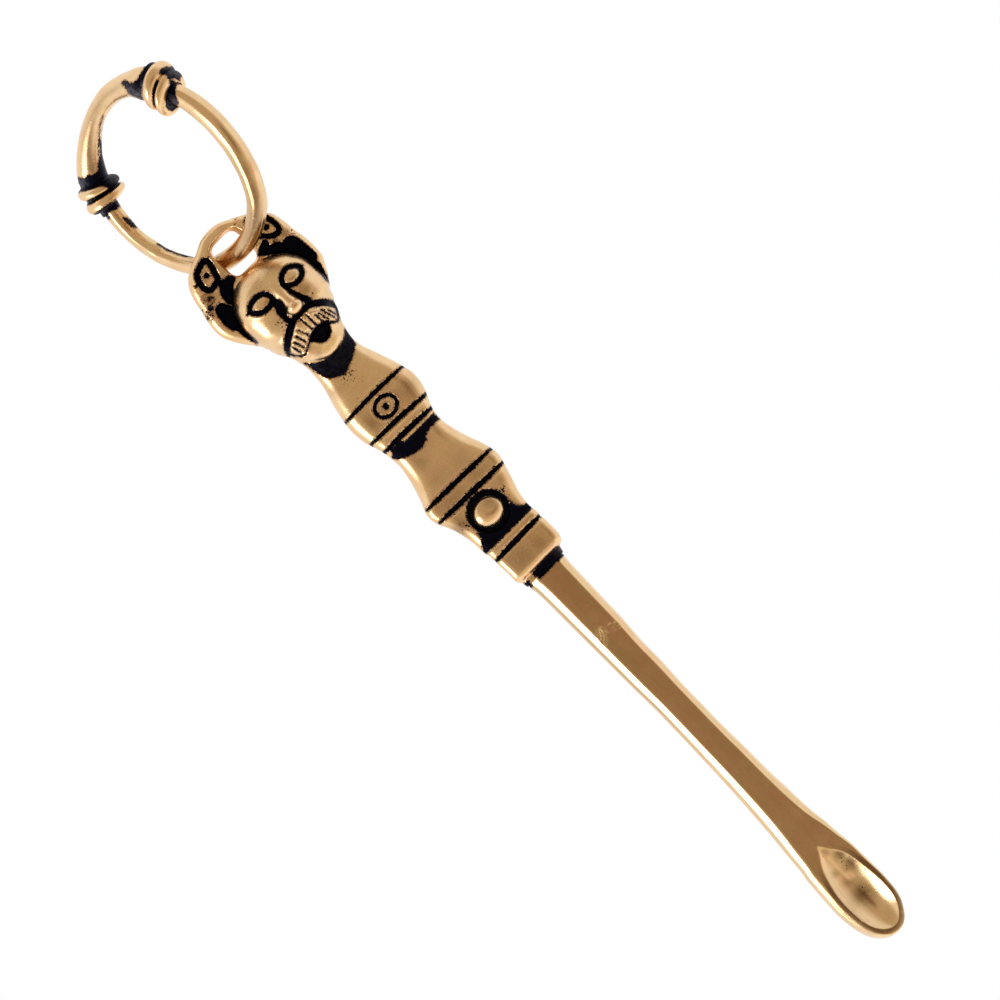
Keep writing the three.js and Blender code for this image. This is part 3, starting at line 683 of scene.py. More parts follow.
@dataclass
class Handle:
    """The cast handle: crown with its eye, mask and moulded grip, sculpted as one skin.

    Levels are millimetres down from the top of the eye's bar, and places across are from the eye's middle.
    """

    columns_side: int = 44
    columns_middle: int = 36
    columns_wall: int = 6
    columns_back: int = 14
    eye_middle: Spot = (0.09, 3.03)
    eye_half: Spot = (1.46, 1.76)
    eye_squareness: float = 4.5
    eye_warp: float = 0.4
    eye_land: float = 0.4
    flare_front: tuple[float, float, float, float] = (0.58, 0.12, 0.14, 0.3)
    flare_back: tuple[float, float, float, float] = (0.14, 0.3, 0.6, 0.4)
    crown_front: float = 1.2
    crown_back: float = 1.1
    crown_edge: float = 0.85
    grip_back: float = 2.0
    grip_back_edge: float = 0.5
    face_back: float = 2.7
    outline: tuple[tuple[float, float, float], ...] = (
        (0.03, -0.22, -0.04), (0.05, -0.57, 0.31), (0.1, -0.92, 0.66), (0.19, -1.27, 0.96),
        (0.31, -1.57, 1.27), (0.47, -1.88, 1.6), (0.65, -2.22, 1.93), (0.82, -2.6, 2.3), (1, -3, 2.64),
        (1.19, -3.42, 2.99), (1.42, -3.86, 3.37),
        (1.73, -4.33, 3.81), (2.26, -4.79, 4.33), (2.78, -5.08, 4.82), (3.31, -5.26, 5.01),
        (3.83, -5.4, 5.12), (4.36, -5.5, 5.21), (4.88, -5.62, 5.23), (5.41, -5.75, 5.28),
        (5.93, -5.85, 5.39), (6.46, -5.92, 5.46), (6.98, -5.93, 5.51), (7.51, -5.84, 5.52),
        (8.03, -5.66, 5.48), (8.56, -5.38, 5.42), (9.26, -4.94, 5.1), (9.87, -4.47, 4.75),
        (10.53, -4, 4.28),
        (10.83, -3.9, 4.1), (11.18, -3.76, 3.81), (11.71, -3.63, 3.63),
        (12.23, -3.37, 3.28), (12.76, -3.02, 3.11), (13.28, -2.8, 2.84), (13.81, -2.67, 2.49),
        (14.33, -2.54, 2.41), (14.86, -2.49, 2.23), (15.38, -2.54, 2.14), (15.91, -2.54, 2.14),
        (16.43, -2.62, 2.19), (16.96, -2.71, 2.36), (17.48, -2.89, 2.58), (18.01, -3.02, 2.76),
        (18.53, -3.24, 2.93), (19.06, -3.32, 3.11), (19.58, -3.46, 3.32), (20.11, -3.53, 3.44),
        (20.63, -3.67, 3.59), (21.16, -3.72, 3.74), (21.68, -3.72, 3.76), (22.21, -3.66, 3.72),
        (22.73, -3.6, 3.63), (23.26, -3.5, 3.47), (23.78, -3.26, 3.24), (24.31, -3.11, 2.93),
        (24.83, -3.02, 2.74), (25.36, -2.93, 2.64), (25.88, -2.89, 2.58), (26.41, -2.87, 2.61),
        (26.93, -2.93, 2.69), (27.46, -3.06, 2.8), (27.98, -3.15, 2.97), (28.51, -3.28, 3.11),
        (29.03, -3.46, 3.28), (29.56, -3.63, 3.5), (30.08, -3.81, 3.67), (30.61, -4.05, 3.83),
        (31.13, -4.29, 3.94), (31.66, -4.3, 4.02), (32.18, -4.2, 3.96), (32.71, -3.98, 3.76),
        (33.23, -3.7, 3.59), (33.76, -3.5, 3.46), (34.28, -3.37, 3.28), (34.81, -3.24, 3.08),
        (35.33, -3.15, 2.91), (35.86, -3.07, 2.8), (36.38, -3.04, 2.74), (36.91, -3.02, 2.72),
        (37.17, -3.02, 2.74), (37.43, -2.91, 2.78), (37.78, -2.9, 2.83), (37.96, -2.89, 2.8),
        (38.18, -2.84, 2.74), (38.39, -2.87, 2.8), (39.01, -2.87, 2.84), (40.06, -2.83, 2.84),
        (40.49, -2.86, 2.78), (40.76, -2.84, 2.69), (40.98, -2.76, 2.54), (41.15, -2.62, 2.27),
        (41.28, -2.54, 2.1), (41.63, -2.49, 1.99), (41.85, -2.45, 1.95),
    )
    grip_edge: tuple[Spot, ...] = (
        (12.0, 0.85), (16.4, 1.2), (18.0, 1.45), (22.0, 1.5), (23.6, 1.2), (24.7, 0.9), (26.5, 1.2), (28.5, 1.45),
        (30.6, 1.1), (31.7, 0.85), (33.5, 1.0), (35.0, 1.1), (37.1, 0.8), (38.3, 0.75), (41.9, 0.75),
    )
    grip_front: tuple[Spot, ...] = (
        (12.0, 1.7), (14.5, 1.8), (16.4, 1.9), (17.2, 1.95), (18.6, 2.13), (20.0, 2.3), (21.5, 2.36), (23.2, 2.3),
        (24.0, 2.22), (24.7, 2.08), (25.3, 1.95), (26.4, 1.93), (27.6, 2.0), (29.2, 2.2), (30.6, 2.36),
        (31.6, 2.4), (32.5, 2.38), (34.0, 2.28), (35.6, 2.16), (37.1, 2.1), (37.25, 2.12), (37.4, 2.24),
        (37.7, 2.26), (37.95, 2.2), (38.35, 2.22), (38.55, 2.33), (38.9, 2.36), (40.3, 2.36), (40.7, 2.28),
        (40.95, 2.12), (41.1, 1.85), (41.2, 1.62), (41.85, 1.6),
    )
    face_outline: tuple[tuple[float, float, float], ...] = (
        (4.7, -1.0, 1.1), (4.88, -1.5, 1.5), (5.1, -2.1, 1.95), (5.41, -2.45, 2.35), (5.93, -2.92, 3.06),
        (6.28, -3.2, 3.4), (6.76, -3.54, 3.7), (7.24, -3.74, 3.94), (7.71, -3.87, 4.09), (8.38, -4.01, 4.16),
        (9.26, -4.01, 4.14), (10.13, -3.97, 4.1), (10.66, -3.94, 4.06), (11.18, -3.76, 3.81),
        (11.71, -3.63, 3.63), (12.23, -3.37, 3.28), (12.76, -3.02, 3.11), (13.28, -2.8, 2.84),
        (13.81, -2.67, 2.54), (14.33, -2.32, 2.23), (14.86, -1.79, 1.97), (15.25, -1.1, 1.4), (15.5, -0.5, 0.7),
    )
    face_front: tuple[Spot, ...] = (
        (4.7, 0.5), (5.0, 1.3), (5.5, 2.05), (6.2, 2.7), (7.0, 3.15), (8.0, 3.5), (9.3, 3.68), (10.5, 3.6),
        (11.5, 3.42), (12.5, 3.15), (13.5, 2.87), (14.2, 2.66), (14.8, 2.42), (15.2, 2.18), (15.4, 1.95), (15.5, 1.75),
    )
    bridge: tuple[tuple[float, float, float], ...] = (
        (6.8, 0.45, 0.0), (7.6, 0.5, 0.16), (8.6, 0.48, 0.34), (9.2, 0.55, 0.5), (9.6, 0.7, 0.62), (9.95, 0.82, 0.68),
        (10.25, 0.84, 0.5), (10.5, 0.75, 0.2), (10.7, 0.6, 0.0),
    )
    tip: tuple[float, float, float, float, float] = (0.52, 10.12, 0.84, 0.66, 0.98)
    crown_carvings: tuple[Groove | Recess, ...] = (
        Groove(
            ((-3.11, 1.86), (-2.58, 1.66), (-2.14, 1.73), (-2.07, 2.17), (-2.27, 2.91), (-2.54, 3.61),
             (-3.06, 3.83), (-3.67, 3.83), (-3.92, 3.44), (-3.91, 2.96), (-3.74, 2.39), (-3.46, 2.01)),
            0.52, 0.4, closed=True,
        ),
        Groove(
            ((2.97, 3.79), (3.37, 4.2), (3.85, 4.44), (4.29, 4.39), (4.46, 3.96), (4.42, 3.39), (4.24, 2.78),
             (3.89, 2.17), (3.37, 1.78), (2.84, 1.82), (2.54, 2.34), (2.49, 3.04)),
            0.46, 0.4, closed=True,
        ),
        Recess(oval((-2.99, 2.71), 0.28, 0.26, 8), 0.3, 0.15),
        Recess(oval((3.67, 3.4), 0.28, 0.26, 8), 0.3, 0.15),
        Groove(((-4.34, 2.69), (-3.89, 2.74)), 0.22, 0.15),
        Recess(
            ((-2.52, 3.81), (-2.05, 4.04), (-1.72, 4.04), (-1.48, 4.28), (-1.31, 4.58), (-1.57, 4.81),
             (-1.99, 5.01), (-2.39, 5.42), (-2.86, 5.89), (-3.19, 6.26), (-3.32, 5.96), (-3.46, 5.69),
             (-3.39, 5.21), (-3.32, 4.81), (-3.12, 4.48), (-2.92, 4.21), (-2.83, 3.94)),
            0.75,
        ),
        Recess(
            ((1.38, 4.66), (1.92, 4.28), (2.32, 4.14), (2.76, 3.96), (2.93, 4.36), (2.8, 4.75), (3.19, 4.88),
             (3.47, 5.01), (3.67, 5.21), (3.5, 5.67), (3.4, 6.24), (3.06, 5.96), (2.6, 5.63), (2.13, 5.28),
             (1.72, 4.95)),
            0.75,
        ),
        Recess(
            ((-4.34, 5.25), (-4.0, 5.21), (-3.74, 5.32), (-3.53, 5.69), (-3.32, 6.03), (-3.3, 6.3),
             (-3.53, 6.76), (-3.74, 7.24), (-3.87, 7.71), (-3.96, 8.01), (-4.0, 8.31), (-4.03, 8.71),
             (-3.98, 9.26), (-3.96, 10.0), (-4.14, 9.93), (-4.34, 9.26), (-4.44, 8.71), (-4.44, 8.31),
             (-4.54, 7.98), (-4.81, 7.58), (-4.91, 7.03), (-4.87, 6.37), (-4.74, 5.69), (-4.61, 5.42)),
            0.9,
        ),
        Recess(
            ((3.47, 5.56), (3.74, 5.35), (4.14, 5.25), (4.55, 5.35), (4.81, 5.63), (5.01, 6.03), (5.08, 6.7),
             (5.12, 7.38), (5.12, 8.05), (4.95, 8.45), (4.75, 8.58), (4.75, 9.06), (4.55, 9.73), (4.28, 10.4),
             (4.14, 10.67), (4.08, 10.4), (4.11, 9.73), (4.14, 9.06), (4.17, 8.51), (4.14, 8.05),
             (4.08, 7.58), (3.88, 7.1), (3.67, 6.7), (3.4, 6.3)),
            0.9,
        ),
        Recess(((-4.95, 4.8), (-4.7, 4.75), (-4.5, 4.95), (-4.6, 5.15), (-4.9, 5.2), (-5.05, 5.0)), 0.03, most=0.2),
        Recess(((-4.45, 4.2), (-4.15, 4.15), (-3.92, 4.4), (-4.0, 4.72), (-4.3, 4.75), (-4.5, 4.5)), 0.03, most=0.03),
        Recess(((-5.6, 5.3), (-5.3, 5.15), (-5.0, 5.3), (-5.05, 5.6), (-5.35, 5.75), (-5.65, 5.6)), 0.0, most=-0.06),
        Recess(((-4.75, 3.85), (-4.45, 3.75), (-4.2, 3.95), (-4.35, 4.3), (-4.65, 4.25)), 0.0, most=-0.12),
        Recess(((3.25, 4.6), (3.45, 4.55), (3.6, 4.8), (3.4, 4.95)), 0.0, most=-0.05),
    )
    face_carvings: tuple[Groove | Recess, ...] = (
        Groove(
            ((-2.54, 7.7), (-2.19, 7.33), (-1.62, 7.17), (-1.09, 7.2), (-0.61, 7.42), (-0.37, 7.86),
             (-0.39, 8.29), (-0.74, 8.51), (-1.27, 8.57), (-1.84, 8.47), (-2.32, 8.12)),
            0.44, 0.3, closed=True,
        ),
        Groove(
            ((1.22, 7.94), (1.44, 7.55), (1.84, 7.29), (2.27, 7.2), (2.71, 7.33), (3.11, 7.68), (3.28, 8.08),
             (3.02, 8.47), (2.54, 8.73), (2.06, 8.73), (1.62, 8.56), (1.27, 8.29)),
            0.44, 0.3, closed=True,
        ),
        Groove(((-2.86, 7.68), (-2.49, 7.73)), 0.2, 0.15),
        Groove(((3.54, 8.03), (3.28, 8.08)), 0.2, 0.15),
        Recess(
            ((-0.22, 7.86), (-0.09, 8.38), (0, 8.91), (-0.04, 9.43), (-0.3, 9.87), (-0.5, 10.31), (-0.42, 10.79),
             (-0.85, 10.9), (-0.97, 10.5), (-0.97, 10.04), (-0.98, 9.52), (-0.78, 8.99), (-0.62, 8.47),
             (-0.48, 8.03)),
            0.34, 0.15,
        ),
        Recess(
            ((1.09, 7.86), (1.36, 8.38), (1.44, 8.99), (1.66, 9.61), (1.92, 10.22), (2.06, 10.74), (1.71, 11.01),
             (1.36, 10.79), (1.4, 10.31), (1.31, 9.78), (1.14, 9.26), (1.05, 8.73)),
            0.32, 0.15,
        ),
        Groove(((-0.25, 10.72), (0.15, 10.86), (0.52, 10.9), (0.9, 10.86), (1.28, 10.72)), 0.2, 0.14, stain=0.02),
        Groove(
            ((0.39, 10.92), (-0.39, 10.88), (-0.92, 11.09), (-1.53, 11.44), (-2.14, 11.88), (-2.58, 12.32),
             (-2.84, 12.71)),
            0.6, 0.35, taper=True,
        ),
        Groove(
            ((0.39, 10.92), (1.36, 10.88), (1.88, 11.09), (2.41, 11.49), (2.84, 11.93), (3.02, 12.32), (3.06, 12.67)),
            0.6, 0.35, taper=True,
        ),
        Groove(
            ((-2.65, 12.71), (-2.54, 13.06), (-2.19, 13.47), (-1.83, 13.7), (-1.44, 13.54), (-1.01, 13.33),
             (-0.66, 13.19)),
            0.16, 0.14, stain=0.01,
        ),
        Groove(
            ((3.04, 12.63), (2.89, 12.98), (2.62, 13.37), (2.32, 13.61), (2.06, 13.5), (1.71, 13.19)), 0.2, 0.16,
            stain=0.02,
        ),
        Recess(
            ((-0.74, 13.11), (-0.22, 12.8), (0.48, 12.67), (1.27, 12.74), (1.79, 13.06), (1.49, 13.54),
             (1.18, 13.94), (0.57, 14.19), (0.04, 14.07), (-0.35, 13.59)),
            0.9, 0.35,
        ),
    )
    hairs: tuple[tuple[Spot, Spot], ...] = (
        ((-2.1, 12.55), (-1.9, 13.3)),
        ((-1.71, 12.28), (-1.42, 13.12)),
        ((-1.22, 12.06), (-0.98, 12.92)),
        ((-0.7, 11.79), (-0.42, 12.68)),
        ((0.1, 11.3), (0.22, 12.63)),
        ((0.73, 11.3), (0.73, 12.63)),
        ((1.27, 11.88), (1.34, 12.75)),
        ((1.64, 12.01), (1.82, 12.98)),
        ((1.99, 11.95), (2.3, 13.2)),
        ((2.41, 12.41), (2.6, 13.1)),
    )
    swellings: tuple[Recess, ...] = (
        Recess(
            ((0.66, 11.27), (-0.04, 11.09), (-0.48, 11.05), (-1.01, 11.4), (-1.62, 11.79), (-2.14, 12.23),
             (-2.58, 12.71), (-2.36, 13.11), (-1.92, 13.5), (-1.62, 13.24), (-1.09, 12.98), (-0.66, 12.8),
             (-0.13, 12.67), (0.66, 12.63)),
            -0.3, 0.45, stain=-9.0,
        ),
        Recess(
            ((0.22, 11.27), (0.74, 11.09), (1.18, 11.05), (1.71, 11.36), (2.23, 11.75), (2.71, 12.23), (2.89, 12.67),
             (2.49, 13.28), (2.19, 13.46), (1.79, 13.11), (1.27, 12.8), (0.74, 12.67), (0.22, 12.63)),
            -0.3, 0.45, stain=-9.0,
        ),
        Recess(oval((-1.43, 7.87), 0.95, 0.56), -0.14, 0.5, stain=-9.0),
        Recess(oval((2.25, 7.97), 0.92, 0.62), -0.14, 0.5, stain=-9.0),
    )
    pitted: tuple[Blob, ...] = (
        (-5.3, 5.1, 0.8, 1.0), (-4.5, 4.5, 0.7, 1.0), (4.86, 5.58, 0.8, 0.9), (3.4, 4.75, 0.5, 0.8),
        (2.2, 1.2, 0.5, 1.0), (-1.3, 10.4, 0.7, 0.9), (2.3, 10.4, 0.6, 0.7), (-2.5, 34.2, 0.6, 0.9),
        (2.06, 34.2, 0.6, 1.0), (-0.4, 17.7, 1.3, 0.7), (-1.3, 19.8, 0.6, 0.5), (0.5, 6.1, 1.2, 0.4),
    )
    # Brown spots on the front, partly discolouring and partly painted shade; the strong one left of the stud paints
    # out the lamp's highlight there.
    tarnish_and_painted_shade_spots: tuple[Blob, ...] = (
        (-5.0, 5.1, 0.6, 0.5), (-4.4, 4.3, 0.5, 0.6), (4.4, 5.0, 0.5, 0.45), (-0.95, 14.5, 0.4, 0.5),
        (1.2, 5.9, 0.7, 0.45), (-0.6, 6.4, 0.8, 0.2), (-2.3, 11.6, 0.6, 0.45), (-1.1, 13.7, 0.5, 0.45),
        (-1.4, 10.0, 0.5, 0.35), (2.3, 10.0, 0.5, 0.3), (-2.2, 17.8, 0.6, 0.3), (-1.9, 22.0, 0.8, 0.45),
        (2.6, 22.1, 0.8, 0.45), (-1.3, 27.6, 0.7, 0.4), (-1.0, 29.7, 1.1, 0.3), (1.3, 29.9, 1.1, 0.25),
        (-1.6, 31.9, 1.3, 0.4), (1.6, 31.9, 1.1, 0.25), (-2.9, 34.0, 0.8, 0.95), (2.6, 33.6, 0.5, 0.3),
        (-0.9, 39.6, 1.1, 0.4), (0.9, 39.9, 0.8, 0.35),
    )
    rubbed: tuple[Blob, ...] = ((2.1, 41.5, 0.6, 0.9), (0.0, 15.9, 2.5, 0.1))
    grip_carvings: tuple[Groove | Recess, ...] = (
        Groove(((-3.54, 20.4), (0.0, 20.32), (3.54, 20.45)), 0.36, 0.26, taper=True),
        Groove(((-3.28, 23.35), (0.0, 23.41), (3.37, 23.61)), 0.4, 0.26, taper=True),
        Groove(((-3.02, 24.66), (0.0, 24.66), (2.76, 24.78)), 0.44, 0.28, taper=True),
        Groove(((-3.89, 30.84), (0.0, 30.9), (3.86, 31.0)), 0.44, 0.28, taper=True),
        Groove(((-3.89, 32.41), (0.0, 32.5), (3.81, 32.57)), 0.46, 0.28, taper=True),
        Groove(((-2.84, 38.27), (0.0, 38.18), (2.79, 38.15)), 0.42, 0.28, taper=True),
        Groove(oval((0.0, 21.87), 1.07, 0.89), 0.3, 0.24, closed=True),
        Recess(oval((0.0, 21.87), 0.31, 0.31, 10), 0.24, 0.15),
        Recess(
            ((-1.18, 25.23), (2.49, 25.23), (2.54, 25.97), (1.36, 25.93), (0.66, 26.14), (0.39, 26.49),
             (-0.39, 26.67), (-1.44, 26.49), (-2.49, 25.97), (-2.84, 25.53), (-2.49, 25.09), (-2.49, 24.83),
             (-1.27, 24.83)),
            0.12, 0.2, smooth=False,
        ),
        Recess(oval((-0.17, 34.72), 2.0, 1.95), 0.5, 0.35),
        Recess(
            ((-2.67, 36.38), (-2.32, 35.94), (-2.23, 35.33), (-1.27, 35.94), (-0.13, 36.25), (0.92, 35.94),
             (1.84, 35.33), (1.88, 36.03), (2.23, 36.38), (2.67, 36.56), (2.71, 37.21), (-2.89, 37.21),
             (-2.97, 36.95)),
            0.14, 0.2, smooth=False,
        ),
        # The sunk band of the neck under the chin: black skin, which also stands for the chin's shade.
        Recess(
            ((-2.36, 14.18), (-2.08, 14.49), (-1.58, 14.97), (-0.71, 15.31), (0.04, 15.36), (1.04, 15.31),
             (1.79, 14.97), (2.29, 14.51), (2.14, 15.56), (1.97, 16.17), (0.83, 16.87), (-0.22, 17.31),
             (-0.74, 17.31), (-1.79, 16.69), (-2.14, 15.99), (-2.23, 15.29)),
            0.1, 0.3, smooth=False,
        ),
        Recess(
            ((-1.36, 41.24), (-0.39, 41.11), (0.66, 41.06), (1.97, 41.19), (1.97, 41.72), (1.36, 42.07),
             (-0.39, 41.98), (-1.27, 41.81)),
            0.05, 0.2, smooth=False,
        ),
        Recess(((-2.49, 41.46), (-2.06, 41.37), (-1.97, 41.81), (-2.32, 41.98)), 0.03, 0.2, smooth=False),
    )

    def levels(self) -> Array:
        """Chooses the rows' levels: close at the top, in the head and at the grooves, wide between them."""
        fine = np.arange(self.outline[0][0], self.outline[-1][0], 0.005)
        gap = np.where(fine < 0.8, 0.012 + 0.08 * fine, 0.078)
        gap = np.where(fine > 16.6, 0.15, gap)
        for carving in self.grip_carvings:
            spots = np.array(carving.points)
            low, high = spots[:, 1].min(), spots[:, 1].max()
            if high - low < 2.2:
                gap = np.where((fine > low - 0.35) & (fine < high + 0.35), 0.075, gap)
        gap = np.where((fine > 37.1) & (fine < 38.7) | (fine > 40.3), 0.075, gap)
        passed = np.cumsum(1.0 / gap) * 0.005
        count = int(passed[-1])
        return np.interp(np.linspace(passed[0], passed[-1], count), passed, fine)

    def edges(self, down: Array) -> tuple[Array, Array]:
        """Reads the left and right edge at levels, with the measuring noise taken out along the grip."""
        given = np.array(self.outline)
        calm = given.copy()
        calm[1:-1] = (given[:-2] + 2 * given[1:-1] + given[2:]) / 4
        along = (given[:, :1] > 13.8) & (given[:, :1] < 37.0)
        table = flowing(np.where(along, calm, given), False, 5)
        return np.interp(down, table[:, 0], table[:, 1]), np.interp(down, table[:, 0], table[:, 2])

    def grip_rim(self, across: Array, down: Array) -> Array:
        """How far places lie in from the grip's two edges, square to them."""
        step = 0.1
        result = np.full(across.shape, np.inf)
        for way, here, before, after in zip((1, -1), self.edges(down), self.edges(down - step), self.edges(down + step)):
            lean = (after - before) / (2 * step)
            result = np.minimum(result, way * (across - here) / np.hypot(1.0, lean))
        return np.maximum(result, 0.0)

    def across_at(self, down: Array, share: Array) -> Array:
        """Places columns between the edges, with the eye's two sides on columns of their own.

        Args:
            down: Levels, one for each row.
            share: Places along the front from 0 to 3: the left part, the eye's part and the right part.

        Returns:
            Places across, rows by columns.
        """
        left, right = self.edges(down)
        span = right - left
        first = np.maximum(self.eye_middle[0] - self.eye_half[0], left + 0.22 * span)
        second = np.minimum(self.eye_middle[0] + self.eye_half[0], right - 0.22 * span)
        stops = np.stack([left, first, second, right], axis=1)
        part = np.clip(share.astype(int), 0, 2)
        within = share - part
        outer = np.where(part == 0, 1 - np.cos(within * math.pi / 2), np.sin(within * math.pi / 2))
        within = np.where(part == 1, within, 0.5 * within + 0.5 * outer)
        return stops[:, part] * (1 - within) + stops[:, part + 1] * within

    def warped(self, across: Array, down: Array) -> tuple[Array, Array]:
        """Draws the grid's lines round the eye in, so that a squared block of it becomes the eye's outline.

        Args:
            across: Places across.
            down: Levels.

        Returns:
            The moved places.
        """
        u = (across - self.eye_middle[0]) / self.eye_half[0]
        v = (down - self.eye_middle[1]) / self.eye_half[1]
        block = np.maximum(np.abs(u), np.abs(v))
        power = self.eye_squareness
        smooth = (np.abs(u) ** power + np.abs(v) ** power) ** (1 / power)
        pull = np.where(block > 0, block / np.maximum(smooth, 1e-9), 1.0)
        share = eased(1.0 - np.clip((block - 1.0) / self.eye_warp, 0.0, 1.0), 0.0, 1.0)
        pull = 1.0 + (pull - 1.0) * np.where(block <= 1.0, 1.0, share)
        return (
            self.eye_middle[0] + u * pull * self.eye_half[0],
            self.eye_middle[1] + v * pull * self.eye_half[1],
        )

    def eye_distance(self, across: Array, down: Array) -> Array:
        """How far places lie outside the eye's outline."""
        u = (across - self.eye_middle[0]) / self.eye_half[0]
        v = (down - self.eye_middle[1]) / self.eye_half[1]
        power = self.eye_squareness
        shape = (np.abs(u) ** power + np.abs(v) ** power) ** (1 / power)
        radius = np.hypot(across - self.eye_middle[0], down - self.eye_middle[1])
        return radius * (1.0 - 1.0 / np.maximum(shape, 1e-6))

    def flare(self, across: Array, down: Array, widths: tuple[float, float, float, float]) -> Array:
        """The slope round the eye, from the hole's edge out to the crown's face.

        Args:
            across: Places across.
            down: Levels.
            widths: How wide the slope is to the right, below, to the left and above the hole.

        Returns:
            How far the slope stands from the middle plane.
        """
        past = np.maximum(self.eye_distance(across, down), 0.0)
        turn = np.arctan2(down - self.eye_middle[1], across - self.eye_middle[0])
        ways = (np.cos(turn), np.sin(turn), -np.cos(turn), -np.sin(turn))
        width = sum(wide * np.maximum(way, 0.0) ** 2 for wide, way in zip(widths, ways))
        return self.eye_land + past * (self.crown_front - self.eye_land) / width

    def edge_distance(self, across: Array, down: Array) -> Array:
        """How far places lie in from the handle's own edge."""
        table = flowing(self.outline, False, 3)
        left = table[:, [1, 0]]
        right = table[::-1][:, [2, 0]]
        away, _ = line_distance(across, down, np.vstack([left, right]), True)
        return away

    def egg(self, across: Array, down: Array, depth: Array) -> Array:
        """The mask's smooth egg.

        Args:
            across: Places across.
            down: Levels.
            depth: How deep the egg is at each level's middle.

        Returns:
            How far it stands from the middle plane, 0 outside it.
        """
        table = flowing(self.face_outline, False, 4)
        left = np.interp(down, table[:, 0], table[:, 1])
        right = np.interp(down, table[:, 0], table[:, 2])
        spare = 1.0 + 0.05 * (1.0 - eased(down, 10.0, 11.2))
        away = np.abs(across - (left + right) / 2) / ((right - left) / 2 * spare)
        level = (down > self.face_outline[0][0]) & (down < self.face_outline[-1][0])
        away = np.clip(away, 0.0, 1.0)
        return np.where(level, depth * (0.8 * np.sqrt(1.0 - away**3) + 0.2 * np.sqrt(1.0 - away**8)), 0.0)

    def nose(self, across: Array, down: Array) -> Array:
        """How far the nose stands out of the mask: its bridge and the round tip."""
        middle, level, half_across, half_down, rise = self.tip
        table = flowing(self.bridge, False)
        half = np.interp(down, table[:, 0], table[:, 1])
        ridge = np.interp(down, table[:, 0], table[:, 2])
        away = np.clip(np.abs(across - middle) / half, 0.0, 1.0)
        tip = 1.0 - ((across - middle) / half_across) ** 2 - ((down - level) / half_down) ** 2
        return -soft_least(-ridge * (1.0 - away**2) ** 0.7, -rise * np.sqrt(np.clip(tip, 0.0, 1.0)), 0.12)

    def front(self, across: Array, down: Array) -> tuple[Array, Array]:
        """Sculpts the front.

        Args:
            across: Places across.
            down: Levels.

        Returns:
            How far the front stands from the middle plane, and the measure of the dark skin.
        """
        rim = self.edge_distance(across, down)
        thin = eased(down, 9.0, 10.9)
        crown = self.crown_front * (1.0 - thin) + 0.25 * thin - rounded(rim, self.crown_edge)
        crown = crown + 0.014 * unevenness(across, down, 1.4, 5) * eased(rim, 0.0, 0.6)
        crown, crown_stain = carved(crown, across, down, self.crown_carvings)
        crown = soft_least(crown, self.flare(across, down, self.flare_front), 0.06)
        depth = np.interp(down, *flowing(self.face_front, False).T)
        face = self.egg(across, down, depth)
        on_face = eased(face - crown, -0.1, 0.3)
        face = face + (self.nose(across, down) + 0.02 * unevenness(across, down, 1.3, 3)) * on_face
        swell = [swelling.sunk(swelling.reach(across, down)) for swelling in self.swellings]
        hairs = tuple(Groove(hair, 0.4, 0.14, stain=-0.11, burr=0.0) for hair in self.hairs)
        face, face_stain = carved(face - np.min(swell, axis=0), across, down, self.face_carvings + hairs)
        below = np.interp(down, *flowing(self.grip_front, False).T)
        edge = np.interp(down, *flowing(self.grip_edge, False).T)
        grip = below - rounded(self.grip_rim(across, down), edge) + 0.006 * unevenness(across, down, 2.0, 8)
        grip, grip_stain = carved(grip, across, down, self.grip_carvings)
        grip = np.where(down > 12.0, grip, 0.0)
        lower = -soft_least(-face, -grip, 0.2)
        surface = np.maximum(np.where(down < 10.95, crown, 0.0), np.where(down > 12.0, lower, face))
        return np.maximum(surface, 0.02), np.max([crown_stain, face_stain, grip_stain], axis=0)

    def back(self, across: Array, down: Array) -> Array:
        """Sculpts the back: how far it stands from the middle plane."""
        rim = self.edge_distance(across, down)
        thin = eased(down, 9.0, 10.9)
        crown = self.crown_back * (1.0 - thin) + 0.2 * thin - rounded(rim, self.crown_edge)
        crown = soft_least(crown, self.flare(across, down, self.flare_back), 0.06)
        depth = np.interp(down, *flowing(self.face_front, False).T) * self.face_back / 3.75
        egg = self.egg(across, down, depth)
        grip = self.grip_back - rounded(self.grip_rim(across, down), self.grip_back_edge)
        grip = np.where(down > 11.5, grip, 0.0)
        surface = np.maximum(np.where(down < 10.95, crown, 0.0), np.maximum(egg, grip))
        return np.maximum(surface, 0.02)

    def build(self, finish: bpy.types.Material) -> None:
        """Builds the handle.

        Args:
            finish: Its material.
        """
        levels = self.levels()
        eye_rows = [
            int(np.abs(levels - (self.eye_middle[1] + way * self.eye_half[1])).argmin()) for way in (-1, 1)
        ]
        for row, way in zip(eye_rows, (-1, 1)):
            levels[row] = self.eye_middle[1] + way * self.eye_half[1]
        side, middle, wall, back = self.columns_side, self.columns_middle, self.columns_wall, self.columns_back
        front_share = np.concatenate(
            [np.arange(side) / side, 1 + np.arange(middle) / middle, 2 + np.arange(side + 1) / side]
        )
        back_share = np.concatenate(
            [3 - np.arange(back) / back, 2 - np.arange(middle) / middle, 1 - np.arange(back + 1) / back]
        )
        count = len(levels)
        down_front = np.repeat(levels[:, None], len(front_share), axis=1)
        down_back = np.repeat(levels[:, None], len(back_share), axis=1)
        front_x, front_d = self.warped(self.across_at(levels, front_share), down_front)
        back_x, back_d = self.warped(self.across_at(levels, back_share), down_back)
        front_y, stain = self.front(front_x, front_d)
        back_y = self.back(back_x, back_d)
        climb = (np.arange(1, wall) / wall)[None, :]
        sheets = ((front_x, back_x), (-front_y, back_y), (front_d, back_d), (stain, np.full(back_x.shape, -1.0)))
        x, y, d, s = (
            np.hstack([
                fore, fore[:, -1:] * (1 - climb) + aft[:, :1] * climb, aft,
                aft[:, -1:] * (1 - climb) + fore[:, :1] * climb,
            ])
            for fore, aft in sheets
        )
        around = x.shape[1]
        piece = Shaper.wrapped_grid("handle_skin", around, count - 1)
